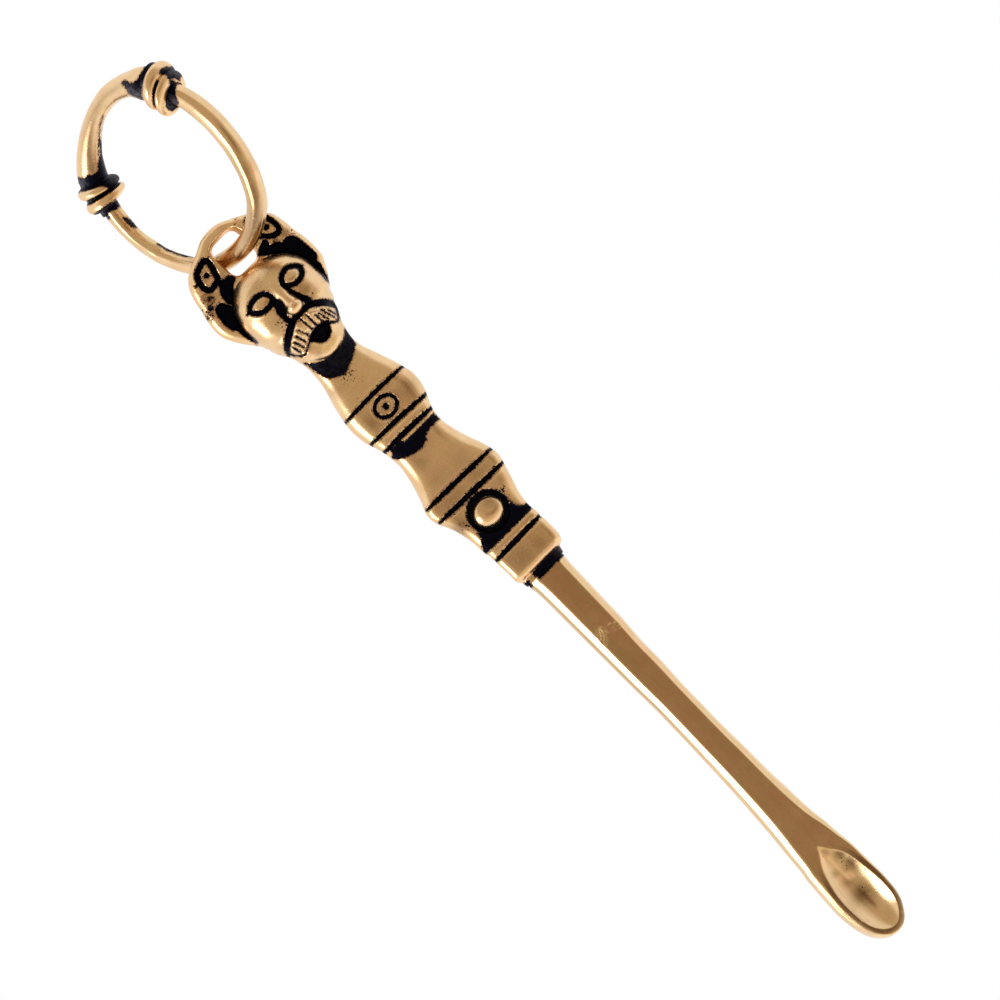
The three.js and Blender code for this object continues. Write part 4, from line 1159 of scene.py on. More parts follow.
        x, y, d, s = (np.hstack([v, v[:, :1]]) for v in (x, y, d, s))
        z = BAR_TOP - d
        places = np.stack([x, y, z], axis=-1).reshape(-1, 3) + np.array(EYE_MIDDLE)
        Shaper.put(piece, places * MM)
        Shaper.mark(piece, "stain", s.ravel())
        fore = eased(-y, 0.0, 0.6)
        Shaper.mark(piece, "pits", np.maximum(fore * blobs(x, d, self.pitted), 0.6 * eased(s, -1.0, -0.1)).ravel())
        # The brown spots: partly discolouring, partly painted shade.
        Shaper.mark(piece, "brown", (fore * blobs(x, d, self.tarnish_and_painted_shade_spots)).ravel())
        Shaper.mark(piece, "wear_and_sheen", (fore * blobs(x, d, self.rubbed)).ravel())
        row = np.repeat(np.arange(count - 1), around)
        column = np.tile(np.arange(around), count - 1)
        in_rows = (row >= eye_rows[0]) & (row < eye_rows[1])
        front_hole = (column >= side) & (column < side + middle)
        back_start = len(front_share) + wall - 1 + back
        back_hole = (column >= back_start) & (column < back_start + middle)
        Shaper.pick_faces(piece, in_rows & (front_hole | back_hole))
        Shaper.edit(piece, Select.FACE)
        bpy.ops.mesh.delete(type="FACE")
        bpy.ops.mesh.select_all(action="SELECT")
        bpy.ops.mesh.remove_doubles(threshold=1e-7)
        bpy.ops.object.mode_set(mode="OBJECT")
        self.close_ends(piece)
        Shaper.edit(piece, Select.EDGE)
        bpy.ops.mesh.select_all(action="DESELECT")
        bpy.ops.mesh.select_non_manifold(
            extend=False, use_wire=False, use_boundary=True, use_multi_face=False, use_non_contiguous=False,
            use_verts=False,
        )
        bpy.ops.mesh.mark_sharp()
        bpy.ops.mesh.bridge_edge_loops()
        bpy.ops.mesh.select_all(action="SELECT")
        bpy.ops.mesh.normals_make_consistent(inside=False)
        bpy.ops.object.mode_set(mode="OBJECT")
        bpy.ops.object.shade_smooth()
        Shaper.finish(piece, finish, Body.SPOON, "handle", Slot.PATINATED)

    def close_ends(self, piece: bpy.types.Object) -> None:
        """Closes the rows' two ends."""
        mesh = piece.data
        places = Shaper.places(piece)
        z = places[:, 2]
        for end in (z.max(), z.min()):
            chosen = np.abs(z - end) < 2e-6
            mesh.vertices.foreach_set("select", chosen)
            mesh.edges.foreach_set("select", np.zeros(len(mesh.edges), dtype=bool))
            mesh.polygons.foreach_set("select", np.zeros(len(mesh.polygons), dtype=bool))
            Shaper.edit(piece, Select.VERT)
            bpy.ops.mesh.edge_face_add()
            bpy.ops.object.mode_set(mode="OBJECT")


def carved(
    surface: Array, across: Array, down: Array, carvings: tuple[Groove | Recess, ...]
) -> tuple[Array, Array]:
    """Cuts carvings in a surface.

    Args:
        surface: The surface's height.
        across: Places across.
        down: Levels.
        carvings: What is cut.

    Returns:
        The cut surface, and the measure of the dark skin.
    """
    stain = np.full(across.shape, -1.0)
    for carving in carvings:
        reach = carving.reach(across, down)
        surface = surface - carving.sunk(reach)
        stain = np.maximum(stain, carving.darkness(reach))
    return surface, stain


def soft_least(a: Array, b: Array, blend: float) -> Array:
    """The lower of two surfaces, with a soft corner where they meet.

    Args:
        a: One surface.
        b: The other.
        blend: How wide the soft corner is.

    Returns:
        The lower surface.
    """
    share = np.clip(0.5 + 0.5 * (b - a) / blend, 0.0, 1.0)
    return b * (1 - share) + a * share - blend * share * (1 - share)


@dataclass
class Shank:
    """The shank with the scoop at its end, sculpted as one skin.

    Levels and places across are on the spoon's front, as for the handle. The section is drawn square to the
    shank's own front, which is turned on its axis, and then fitted between the measured edges.
    """

    turn: float = math.radians(8.0)
    columns_front: int = 110
    columns_back: int = 36
    rows_rod: int = 130
    rows_scoop: int = 170
    rod_end: float = 71.0
    depth: float = 1.15
    flat: float = 0.61
    bevel: float = 0.88
    bevel_depth: float = 0.72
    scoop_flat: Spot = (0.76, 0.92)
    scoop_bevel: Spot = (0.93, 0.98)
    belly: float = 0.035
    tip_back: float = 0.6
    outline: tuple[tuple[float, float, float], ...] = (
        (41.6, -2.25, 1.75), (42.16, -2.32, 1.79), (42.68, -2.23, 1.71), (44.26, -2.19, 1.65), (46.88, -2.19, 1.57),
        (49.51, -2.19, 1.49), (52.13, -2.19, 1.31), (54.76, -2.19, 1.27), (57.38, -2.14, 1.14),
        (60.01, -2.19, 1.09), (62.63, -2.27, 1.05), (65.26, -2.36, 1.09), (67.88, -2.49, 1.09),
        (70.51, -2.67, 1.18), (73.13, -2.89, 1.27), (74.71, -3.06, 1.44), (76.28, -3.19, 1.53),
        (77.33, -3.37, 1.66), (78.38, -3.46, 1.71), (79.43, -3.54, 1.71), (81.01, -3.63, 1.75),
        (82.06, -3.58, 1.7), (83.11, -3.45, 1.61), (83.63, -3.34, 1.5), (84.16, -3.18, 1.34),
        (84.68, -2.95, 1.08), (85.21, -2.58, 0.72), (85.65, -2.1, 0.3), (85.93, -1.6, -0.2), (86.03, -1.15, -0.7),
    )
    hollow: Recess = Recess(
        (
            (-0.66, 75.8), (-0.92, 76.28), (-1.25, 76.8), (-1.71, 77.51), (-2.06, 78.38), (-2.49, 80.13),
            (-2.58, 81.88), (-2.42, 83.45), (-2.14, 84.33), (-1.71, 84.95), (-1.12, 85.38), (-0.6, 85.5),
            (-0.1, 85.4), (0.36, 85.0), (0.83, 84.33), (1.1, 83.45), (1.25, 81.88), (1.14, 80.13), (0.9, 78.38),
            (0.57, 77.51), (0.04, 76.7), (-0.3, 76.2),
        ),
        0.0,
    )
    nicks: tuple[Groove, ...] = (
        Groove(((-1.25, 49.85), (-0.9, 49.5), (-0.62, 48.95)), 0.15, 0.1, stain=-0.3, burr=0.06),
        Groove(((-0.1, 49.2), (0.45, 49.4), (0.95, 49.7)), 0.14, 0.08, stain=-0.3, burr=0.05),
    )
    hollow_deep: tuple[Spot, ...] = (
        (75.8, 0.0), (76.5, 0.2), (77.5, 0.5), (79.0, 0.85), (80.5, 1.05), (82.0, 1.12), (85.5, 1.12),
    )
    hollow_end: tuple[float, float, float, float] = (82.0, -0.665, 1.915, 1.12)
    pitted: tuple[Blob, ...] = ((0.4, 78.6, 1.1, 0.6), (-0.5, 81.5, 1.1, 0.5), (0.1, 83.6, 0.6, 0.4))
    # Brown spots in the hollow, partly discolouring and partly painted shade.
    tarnish_and_painted_shade_spots: tuple[Blob, ...] = (
        (0.4, 77.6, 0.7, 1.0), (0.6, 78.9, 0.8, 1.0), (-0.8, 81.5, 1.0, 0.95), (-1.15, 78.6, 0.4, 0.5), (-0.9, 79.9, 0.6, 0.6),
    )
    # The low ridge down the hollow; the brown is also kept off it, so that it shows as a painted highlight streak.
    ridge: Blob = (-0.5, 78.1, 0.26, 0.2)

    def bowl(self, across: Array, down: Array) -> tuple[Array, Array]:
        """Hollows the scoop.

        Args:
            across: Places across.
            down: Levels.

        Returns:
            How deep the hollow is, and how far places lie inside its edge.
        """
        edge = flowing(self.hollow.points, True, 4)
        top, low = int(edge[:, 1].argmin()), int(edge[:, 1].argmax())
        first = edge[min(top, low):max(top, low) + 1]
        second = np.vstack([edge[max(top, low):], edge[:min(top, low) + 1]])
        sides = [np.interp(down, *half[half[:, 1].argsort()][:, [1, 0]].T) for half in (first, second)]
        middle, half = (sides[0] + sides[1]) / 2, np.abs(sides[0] - sides[1]) / 2 + 1e-6
        deep = np.interp(down, *flowing(self.hollow_deep, False).T)
        share = np.clip(np.abs(across - middle) / half, 0.0, 1.0)
        place, level, wide, high = self.ridge
        flank = np.where(across < place, wide, 2.3 * wide)
        ridge = high * np.exp(-(((across - place) / flank) ** 2)) * eased(-np.abs(down - level), -2.0, -1.0)
        last, low_middle, low_half, low_deep = self.hollow_end
        share_low = np.abs(across - low_middle) / low_half
        sunk_low = low_deep * (1 - share_low**1.7 - np.clip((down - last) / (self.hollow_deep[-1][0] - last), 0.0, 1.0) ** 2.4)
        sunk = np.where(down > last, np.maximum(sunk_low, 0.0), deep * (1 - share**1.7))
        return sunk - ridge, self.hollow.reach(across, down)

    def section(self, share: Array, scoop: Array) -> tuple[Array, Array]:
        """Draws the section.

        Args:
            share: Places across the width, from -1 to 1.
            scoop: How far each row has turned into the scoop, from 0 to 1.

        Returns:
            How far the front and the back stand from the middle plane.
        """
        away = np.abs(share)
        flat = self.flat + (np.where(share < 0, *self.scoop_flat) - self.flat) * scoop
        bevel = self.bevel + (np.where(share < 0, *self.scoop_bevel) - self.bevel) * scoop
        low = self.bevel_depth + 0.12 * scoop
        slanted = low + (bevel - away) * (self.depth - low) / (bevel - flat)
        side = (1.0 - away) * low / (1.0 - bevel)
        top = self.depth + self.belly * (1.0 - np.minimum(away / flat, 1.0) ** 2)
        front = soft_least(soft_least(top, slanted, 0.07), side, 0.06)
        round_back = self.depth * np.sqrt(np.clip(1.0 - away**2, 0.0, 1.0))
        return front, front * (1 - scoop) + round_back * scoop

    def levels(self) -> Array:
        """The rows' levels, closer in the scoop and closest at its tip."""
        rod = np.linspace(self.outline[0][0], self.rod_end, self.rows_rod)
        even = np.linspace(0.0, 1.0, self.rows_scoop)
        share = 0.6 * even + 0.4 * np.sin(even * math.pi / 2)
        return np.concatenate([rod[:-1], self.rod_end + (self.outline[-1][0] - self.rod_end) * share])

    def build(self, finish: bpy.types.Material) -> None:
        """Builds the shank.

        Args:
            finish: Its material.
        """
        table = flowing(self.outline, False, 5)
        levels = self.levels()
        left, right = (np.interp(levels, table[:, 0], table[:, side])[:, None] for side in (1, 2))
        scoop = eased(levels, 70.0, 78.5)[:, None]
        front_share = np.sin(np.linspace(-0.5, 0.5, self.columns_front + 1) * math.pi)[None, :]
        back_share = np.sin(np.linspace(0.5, -0.5, self.columns_back + 1) * math.pi)[None, 1:-1]
        front, _ = self.section(front_share, scoop)
        _, back = self.section(back_share, scoop)
        half = (right - left) / 2
        across = np.hstack([front_share * half, back_share * half])
        deep = np.hstack([-front, back])
        turned = across * math.cos(self.turn) - deep * math.sin(self.turn)
        y = across * math.sin(self.turn) + deep * math.cos(self.turn)
        low, high = turned.min(axis=1, keepdims=True), turned.max(axis=1, keepdims=True)
        x = left + (turned - low) / (high - low) * (right - left)
        down = np.repeat(levels[:, None], x.shape[1], axis=1)
        rim, _ = line_distance(x, down, np.vstack([table[:, [1, 0]], table[::-1][:, [2, 0]]]), True)
        rounding = rounded(rim, 0.55) * eased(down, 82.0, 85.0)
        rise = self.tip_back * eased(down, 80.0, self.outline[-1][0])
        is_front = (np.arange(x.shape[1]) <= self.columns_front)[None, :]
        bowl, reach = self.bowl(x, down)
        cuts = sum(nick.sunk(nick.reach(x, down)) for nick in self.nicks)
        y = np.where(is_front, y + 0.45 * rounding + bowl + cuts, y - rounding - rise)
        rim_left, rim_right = y[:, :1], y[:, self.columns_front:self.columns_front + 1]
        seam = rim_left + (rim_right - rim_left) * (x - left) / (right - left)
        y = np.where(is_front, y, np.maximum(y, seam))
        gap = (x > -2.0) & (x < -1.25) & is_front
        stain = np.where(gap, -0.9, np.maximum(-0.9, (42.1 - down) / 0.3))
        hollowed = is_front * eased(reach, 0.0, 0.15)
        pits, brown = hollowed * blobs(x, down, self.pitted), hollowed * blobs(x, down, self.tarnish_and_painted_shade_spots)
        # Brown is kept off the hollow's ridge so that it reads as a lighter streak: a painted highlight.
        place, level, wide, _ = self.ridge
        brown *= 1.0 - np.exp(-(((x - place + 0.15) / (0.6 * wide)) ** 2)) * eased(-np.abs(down - level), -2.0, -1.4)
        # A brown band round the hollow's edge: a painted dark reflection on the flat rim.
        band = eased(reach, -0.5, -0.36) * (1.0 - eased(reach, -0.02, 0.14)) * eased(down, 76.5, 79.5)
        # A brown line down the rod's left edge, fading out below: a painted dark reflection.
        line = np.exp(-(((x - left - 0.2) / 0.07) ** 2)) * (1.0 - eased(down, 56.0, 66.0))
        brown = np.maximum(brown, is_front * np.maximum(0.85 * band, 0.5 * line))
        piece = Shaper.wrapped_grid("shank_skin", x.shape[1], len(levels) - 1)
        x, y, down, stain, pits, brown = (np.hstack([v, v[:, :1]]) for v in (x, y, down, stain, pits, brown))
        places = np.stack([x, y, BAR_TOP - down], axis=-1).reshape(-1, 3) + np.array(EYE_MIDDLE)
        Shaper.put(piece, places * MM)
        Shaper.mark(piece, "stain", stain.ravel())
        Shaper.mark(piece, "pits", pits.ravel())
        Shaper.mark(piece, "brown", brown.ravel())
        Shaper.close_tube(piece)
        Shaper.finish(piece, finish, Body.SPOON, "shank", Slot.BRIGHT)


@dataclass
class Stud:
    """The stud: an oval dome over a brim, and a pin that goes through the handle to its back."""

    middle: Spot = (-0.2, 34.72)
    half_across: float = 1.52
    half_down: float = 1.34
    seat: float = 1.75
    rise: float = 1.0
    pin: float = 0.55
    back: float = 2.03
    dent: Blob = (0.2, 34.3, 0.7, 0.2)
    # A brown crescent on the dome: a painted dark reflection.
    tarnish_and_painted_shade_spots: Blob = (0.45, 34.15, 0.7, 0.6)

    def build(self, finish: bpy.types.Material) -> None:
        """Builds the stud by turning its profile and denting its dome.

        Args:
            finish: Its material.
        """
        wide = self.half_across
        dome = [(wide * math.sin(a), -self.seat - self.rise * math.cos(a)) for a in np.linspace(0.02, 1.5, 24)]
        foot = [(wide, -self.seat + 0.25), (self.pin, -self.seat + 0.25), (self.pin, self.back), (0.02, self.back)]
        profile = np.array([*dome, *foot])
        middle = np.array([self.middle[0], 0.0, BAR_TOP - self.middle[1]]) + np.array(EYE_MIDDLE)
        middles = middle + np.column_stack([0 * profile[:, 1], profile[:, 1], 0 * profile[:, 1]])
        first = np.tile([1.0, 0.0, 0.0], (len(profile), 1))
        second = np.tile([0.0, 0.0, self.half_down / self.half_across], (len(profile), 1))
        piece = Shaper.tube("stud_dome", middles, first, second, profile[:, 0], 48)
        places = Shaper.places(piece) / MM
        local = places - np.array(EYE_MIDDLE)
        dent = blobs(local[:, 0], BAR_TOP - local[:, 2], (self.dent,))
        places[:, 1] += np.where(local[:, 1] < -self.seat - 0.3, dent, 0.0)
        Shaper.put(piece, places * MM)
        # The dome's brown crescent is a painted dark reflection.
        Shaper.mark(piece, "brown", blobs(local[:, 0], BAR_TOP - local[:, 2], (self.tarnish_and_painted_shade_spots,)))
        stain = np.where(np.abs(profile[:, 1]) < self.seat + 0.05, 0.5, -1.0)
        Shaper.mark(piece, "stain", np.repeat(stain, 49))
        Shaper.mark(piece, "pits", np.zeros(49 * len(profile)))
        Shaper.close_tube(piece)
        Shaper.finish(piece, finish, Body.SPOON, "stud", Slot.PATINATED)


@dataclass(frozen=True)
class Rod:
    """A stretch of the ring, with its measures at the ring's angles.

    The square is how square the section is (2 is round) and the roll turns the section about the ring's run.
    The brown is a band of painted shade and painted dark reflection, laid out as seen from the front: how strong
    it is, and its middle and its half width as shares of the radius, outwards from the rod's middle. The dark is
    the measure of the dark skin.
    """

    name: str
    node: str
    slot: Slot
    low: float
    high: float
    rows: int
    thickness: tuple[Spot, ...]
    square: tuple[Spot, ...]
    roll: tuple[Spot, ...]
    brown: tuple[tuple[float, float, float, float], ...]
    dark: tuple[Spot, ...]


@dataclass(frozen=True)
class Collar:
    """A beaded collar at an end of the bow.

    The middle is in the ring's plane, across and up from its centre. The axis and each row's lean are the
    ring's angles at which the ring itself would run the same way, and the sag is how much the beads' fronts
    hang, for each millimetre along. A row is a place along the axis, towards the wire, a radius, a lean, a
    measure of the dark skin and a shift outwards.
    """

    name: str
    middle: Spot
    axis: float
    way: float
    sag: float
    rows: tuple[tuple[float, float, float, float, float], ...]


@dataclass
class Ring:
    """The carrying ring: a cast bow with a beaded collar at each end, and the wire that closes it."""

    centre: Array = field(default_factory=lambda: np.array([-0.90732, 0.0, -7.96348]))
    across: Array = field(default_factory=lambda: np.array([0.664829, -0.743145, -0.075748]))
    up: Array = field(default_factory=lambda: np.array([0.113203, 0.0, 0.993572]))
    normal: Array = field(default_factory=lambda: np.array([-0.738368, -0.669131, 0.084126]))
    radius: float = 8.94
    around: int = 40
    wander: tuple[Spot, ...] = (
        (34, -0.1), (40, -0.12), (50, -0.05), (54, 0.02), (58, 0.1), (62, 0.14), (70, 0.14), (77, 0.06),
        (84, 0.02), (92, -0.04), (99, -0.12), (106, -0.13), (113, -0.13), (119, -0.12), (125, -0.07),
        (131, 0.01), (140, 0.2), (146, 0.32), (150, 0.4), (157, 0.36), (165, 0.02), (176, 0.08), (184, 0.05),
        (190, 0.07), (198, 0.04), (205, -0.04), (212, 0.0), (218, -0.05), (226, -0.05), (250, 0.0),
        (258, -0.1), (270, -0.14), (280, -0.08), (290, 0.02), (302, 0.16), (314, 0.32), (320, 0.31),
        (326, 0.22), (334, 0.16), (341, 0.03), (350, -0.05), (359, -0.14), (368, -0.13), (376, -0.16),
        (384, -0.13), (392, -0.1), (400, -0.12), (409, -0.05),
    )
    bow: Rod = Rod(
        "bow", "ring_bow", Slot.PATINATED, 50.5, 158.0, 200,
        thickness=(
            (50, 3.1), (57, 3.05), (63, 2.75), (68, 2.33), (74, 2.14), (82, 1.95), (90, 1.88), (98, 1.77),
            (106, 1.75), (114, 1.78), (122, 1.92), (130, 2.1), (138, 2.28), (142, 2.4), (146, 2.55), (152, 2.65),
            (158, 2.4),
        ),
        square=((50, 2.0), (158, 2.0)), roll=((50, 0.0), (158, 0.0)),
        # Painted shade and painted dark reflection down the bow's front, which also covers the lamp's highlight there.
        brown=(
            (60, 0.0, 0.0, 0.3), (75, 0.35, -0.05, 0.3), (90, 0.5, 0.0, 0.3), (105, 0.75, 0.1, 0.35),
            (120, 1.0, 0.12, 0.42), (130, 1.0, 0.08, 0.45), (140, 1.0, -0.1, 0.45), (158, 0.8, -0.1, 0.4),
        ),
        dark=((50, -1.0), (158, -1.0)),
    )
    wire: Rod = Rod(
        "wire", "ring_wire", Slot.BRIGHT, 161.0, 406.0, 400,
        thickness=(
            (158, 1.66), (182, 1.66), (190, 1.53), (198, 1.54), (206, 1.6), (212, 1.55), (225, 1.56), (250, 1.6),
            (258, 1.74), (270, 1.76), (282, 1.74), (290, 1.7), (302, 1.75), (314, 1.84), (322, 1.86), (334, 1.9),
            (350, 1.91), (366, 1.92), (378, 1.9), (390, 1.82), (411, 1.8),
        ),
        square=((161, 2.6), (235, 2.6), (262, 2.1), (335, 2.0), (352, 2.5), (406, 2.6)),
        roll=((161, 18.0), (230, 18.0), (270, 0.0), (335, 0.0), (360, 7.0), (406, 7.0)),
        # Painted shade where the wire passes behind the eye, and painted shade over the lamp's highlight on its lower
        # right.
        brown=(
            (225, 0.0, -0.5, 0.5), (240, 0.3, -0.5, 0.5), (262, 0.5, -0.2, 0.9), (278, 0.75, 0.35, 0.6),
            (294, 0.85, 0.15, 0.75), (310, 1.0, -0.12, 0.6), (326, 0.9, -0.15, 0.55), (342, 0.5, -0.4, 0.5),
            (356, 0.15, -0.4, 0.4), (366, 0.0, -0.4, 0.4),
        ),
        dark=(
            (160, 0.5), (165, -0.3), (170, -0.9), (235, -0.9), (258, -0.5), (292, -0.7), (396, -0.8),
            (402, -0.2), (405, 0.4),
        ),
    )
    collars: tuple[Collar, ...] = (
        Collar("right_collar", (6.38, 6.04), 21.0, -1.0, 0.0, (
            (-1.8, 1.45, 48, 0.6, 0.0), (-1.55, 1.5, 46, 0.6, 0.0), (-1.42, 1.6, 45, 0.5, 0.0),
            (-1.3, 1.8, 44, 0.0, 0.0), (-1.15, 1.98, 43, -0.6, 0.0), (-0.95, 2.1, 43, -1, 0.0),
            (-0.7, 2.14, 43, -1, 0.0), (-0.45, 2.1, 43, -1, 0.0), (-0.25, 1.98, 43, -0.6, 0.0),
            (-0.13, 1.8, 43, 0.2, 0.0), (-0.03, 1.66, 44, 0.7, 0.0), (0.07, 1.7, 45, 0.4, 0.0),
            (0.16, 1.86, 45, -0.2, 0.0), (0.27, 1.98, 45, -0.8, 0.0), (0.42, 2.03, 45, -1, 0.0),
            (0.6, 2.0, 45, -1, 0.0), (0.76, 1.88, 45, -1, 0.0), (0.88, 1.7, 45, -0.8, 0.0),
            (0.95, 1.48, 45, -0.6, 0.0), (0.96, 1.25, 45, 0.2, 0.0), (0.9, 1.0, 45, 1, 0.0),
            (0.8, 0.95, 44, 1, 0.0), (0.6, 0.9, 43, 1, 0.0), (0.55, 0.5, 43, 1, 0.0),
        )),
        Collar("left_collar", (-8.5, 2.907), 176.0, 1.0, 0.19, (
            (-1.6, 1.25, 158, 0.6, 0.0), (-1.3, 1.3, 160, 0.6, 0.0), (-1.05, 1.38, 162, 0.5, 0.0),
            (-0.95, 1.55, 163, 0.2, 0.0), (-0.86, 1.75, 164, -0.4, 0.0), (-0.7, 1.93, 165, -1, 0.0),
            (-0.45, 2.0, 166, -1, 0.0), (-0.22, 1.93, 167, -0.8, 0.0), (-0.08, 1.76, 168, 0, 0.0),
            (0.02, 1.62, 169, 0.7, 0.0), (0.12, 1.62, 170, 0.7, 0.0), (0.22, 1.75, 171, 0.2, 0.0),
            (0.34, 1.93, 172, -0.6, 0.0), (0.52, 2.03, 172, -1, 0.0), (0.72, 2.04, 172, -1, 0.0),
            (0.9, 1.95, 172, -1, 0.0), (1.04, 1.76, 173, -0.8, 0.0), (1.12, 1.46, 174, -0.1, 0.1),
            (1.17, 1.18, 175, 0.5, 0.25), (1.32, 1.0, 176, 0.6, 0.4), (1.52, 0.9, 176, 0.5, 0.55),
            (1.7, 0.84, 176, 0.4, 0.6), (1.7, 0.5, 176, 1, 0.6),
        )),
    )
    merged: Recess = Recess(
        ((6.26, -12.71), (7.13, -13.14), (7.31, -12.62), (6.96, -11.92), (6.43, -11.74), (6.17, -12.18)), 0.0,
    )
    spots: tuple[Groove | Recess, ...] = (
        Recess(
            (
                (-5.12, -11.39), (-4.88, -11.44), (-4.53, -11.1), (-4.07, -10.98), (-3.83, -10.75),
                (-3.37, -10.67), (-3.13, -10.69), (-2.91, -10.98), (-2.43, -11.33), (-2.2, -11.44),
                (-1.79, -11.83), (-1.44, -12.27), (-1.09, -12.62), (-1.36, -11.92), (-1.71, -11.04),
                (-1.97, -10.43), (-2.06, -9.64), (-1.88, -9.21), (-1.88, -8.77), (-2.49, -8.68),
                (-2.78, -8.65), (-3.13, -8.62), (-3.6, -8.68), (-3.72, -9.06), (-3.89, -9.41),
                (-4.18, -9.7), (-4.53, -9.93), (-5.12, -10.14), (-5.71, -10.52), (-6.17, -10.78),
                (-5.64, -11.22)
            ),
            0.0,
        ),
        Recess(
            (
                (-6.17, -8.11), (-5.71, -8.13), (-5.12, -8.01), (-4.53, -7.95), (-4.07, -7.78),
                (-3.72, -7.69), (-3.37, -7.63), (-3.72, -7.28), (-4.3, -7.15), (-4.66, -7.25),
                (-4.94, -7.39), (-5.29, -7.39), (-5.44, -7.02), (-5.67, -7.08), (-5.99, -7.11)
            ),
            0.0,
        ),
        Recess(
            (
                (3.57, -14.37), (3.89, -14.54), (4.16, -14.37), (4.27, -13.9), (4.62, -13.67),
                (4.86, -13.67), (5.38, -13.84), (5.97, -13.97), (6.08, -14.24), (6.52, -14.19),
                (6.89, -13.93), (7.22, -13.71), (6.96, -13.45), (6.43, -13.55), (5.73, -13.32),
                (5.14, -12.97), (4.68, -12.68), (4.18, -12.21), (3.81, -11.83), (3.63, -12.44),
                (3.37, -13.2), (3.5, -13.76)
            ),
            0.0, stain=-0.08,
        ),
        Recess(
            (
                (6.54, -12.56), (6.89, -12.71), (7.37, -12.59), (7.66, -12.33), (8.09, -12.01),
                (8.09, -11.22), (7.59, -11.04), (7.37, -10.93), (7.24, -11.39), (6.96, -11.51),
                (6.81, -11.68), (6.89, -12.03), (6.72, -12.33)
            ),
            0.0,
        ),
        Recess(
            (
                (5.2, -9.86), (5.4, -10.2), (5.66, -10.5), (6.0, -10.85), (6.43, -11.15), (6.89, -11.48),
                (7.04, -10.98), (6.54, -10.58), (6.19, -10.17), (5.95, -9.6), (5.6, -9.6)
            ),
            0.0,
        ),
        # Two thin lines with no depth: painted shade along the inner edges of the bow and the wire.
        Groove(((-2.23, -11.57), (-1.62, -12.12), (-0.92, -12.76), (-0.22, -13.28), (0.5, -13.62)), 0.1, 0.0, stain=0.0),
        Groove(((-4.07, -2.38), (-3.81, -1.42), (-3.37, -0.37), (-2.76, 0.51)), 0.12, 0.0),
        Recess(
            ((-4.59, -6.23), (-4.33, -5.88), (-4.24, -5.18), (-4.33, -4.74), (-4.59, -5.01), (-4.68, -5.62)), 0.0,
            most=0.2,
        ),
    )

    def axes(self, degrees: Array) -> tuple[Array, Array, Array]:
        """Finds the ring's middles, and its outward and normal directions, at angles.

        Args:
            degrees: The angles.

        Returns:
            The middles, the outward directions and the normals, one row each.
        """
        turn = np.radians(degrees)[:, None]
        out = np.cos(turn) * self.across + np.sin(turn) * self.up
        reach = self.radius + np.interp(degrees, *np.array(self.wander).T)[:, None]
        return self.centre + reach * out, out, np.tile(self.normal, (len(degrees), 1))

    def mark(self, piece: bpy.types.Object, stain: Array, brown: Array) -> None:
        """Writes the attributes of a rod or a collar, with the spots seen from the front, and closes it.

        Args:
            piece: The piece.
            stain: The measure of the dark skin at each point, before the spots.
            brown: The brown at each point: painted shade and painted dark reflection.
        """
        places = Shaper.places(piece) / MM - np.array(EYE_MIDDLE)
        across, down = places[:, 0], BAR_TOP - places[:, 2]
        stain = np.where(self.merged.reach(across, down) > 0, -1.0, stain)
        for spot in self.spots:
            stain = np.maximum(stain, spot.darkness(spot.reach(across, down)))
        Shaper.mark(piece, "stain", stain)
        Shaper.mark(piece, "pits", 0.45 * eased(stain, -0.5, 0.2))
        Shaper.mark(piece, "brown", brown)
        # The skin is turned grey where the surface faces left or right: a painted sheen.
        normals = np.array([vertex.normal for vertex in piece.data.vertices])
        Shaper.mark(piece, "wear_and_sheen", eased(np.abs(normals[:, 0]), 0.45, 0.95))
        Shaper.close_tube(piece)

    def build(self, cast: bpy.types.Material, smooth: bpy.types.Material) -> None:
        """Builds the bow, the collars and the wire.

        Args:
            cast: The bow's material.
            smooth: The wire's material.
        """
        self.build_rod(self.bow, cast)
        for collar in self.collars:
            self.build_collar(collar, cast)
        self.build_rod(self.wire, smooth)

    def build_rod(self, rod: Rod, finish: bpy.types.Material) -> None:
        """Builds a rod along the ring.

        Args:
            rod: The rod.
            finish: Its material.
        """
        degrees = np.linspace(rod.low, rod.high, rod.rows)
        middles, out, normal = self.axes(degrees)
        square, roll, dark = (np.interp(degrees, *np.array(table).T) for table in (rod.square, rod.roll, rod.dark))
        given = np.array(rod.brown)
        strong, place, half = (np.interp(degrees, given[:, 0], given[:, i])[:, None] for i in (1, 2, 3))
        radii = np.interp(degrees, *flowing(rod.thickness, False).T) / 2 / 2 ** (0.5 - 1 / square)
        turn = np.radians(roll)[:, None]
        first = np.cos(turn) * out - np.sin(turn) * normal
        second = np.sin(turn) * out + np.cos(turn) * normal
        piece = Shaper.tube(rod.name, middles, first, second, radii, self.around, square)
        # The brown band is laid out by where points lie as seen from the front: painted shade and a painted dark
        # reflection down the rod.
        nearest = np.arctan2(-normal[:, 1:2], -out[:, 1:2])
        around = np.linspace(0.0, 2 * math.pi, self.around + 1)[None, :] - turn
        seen = np.where(np.cos(around - nearest) > 0, np.sin(nearest - around), 3.0)
        brown = strong * np.exp(-(((seen - place) / half) ** 2))
        self.mark(piece, np.repeat(dark, self.around + 1), brown.ravel())
        Shaper.finish(piece, finish, Body.RING, rod.node, rod.slot)

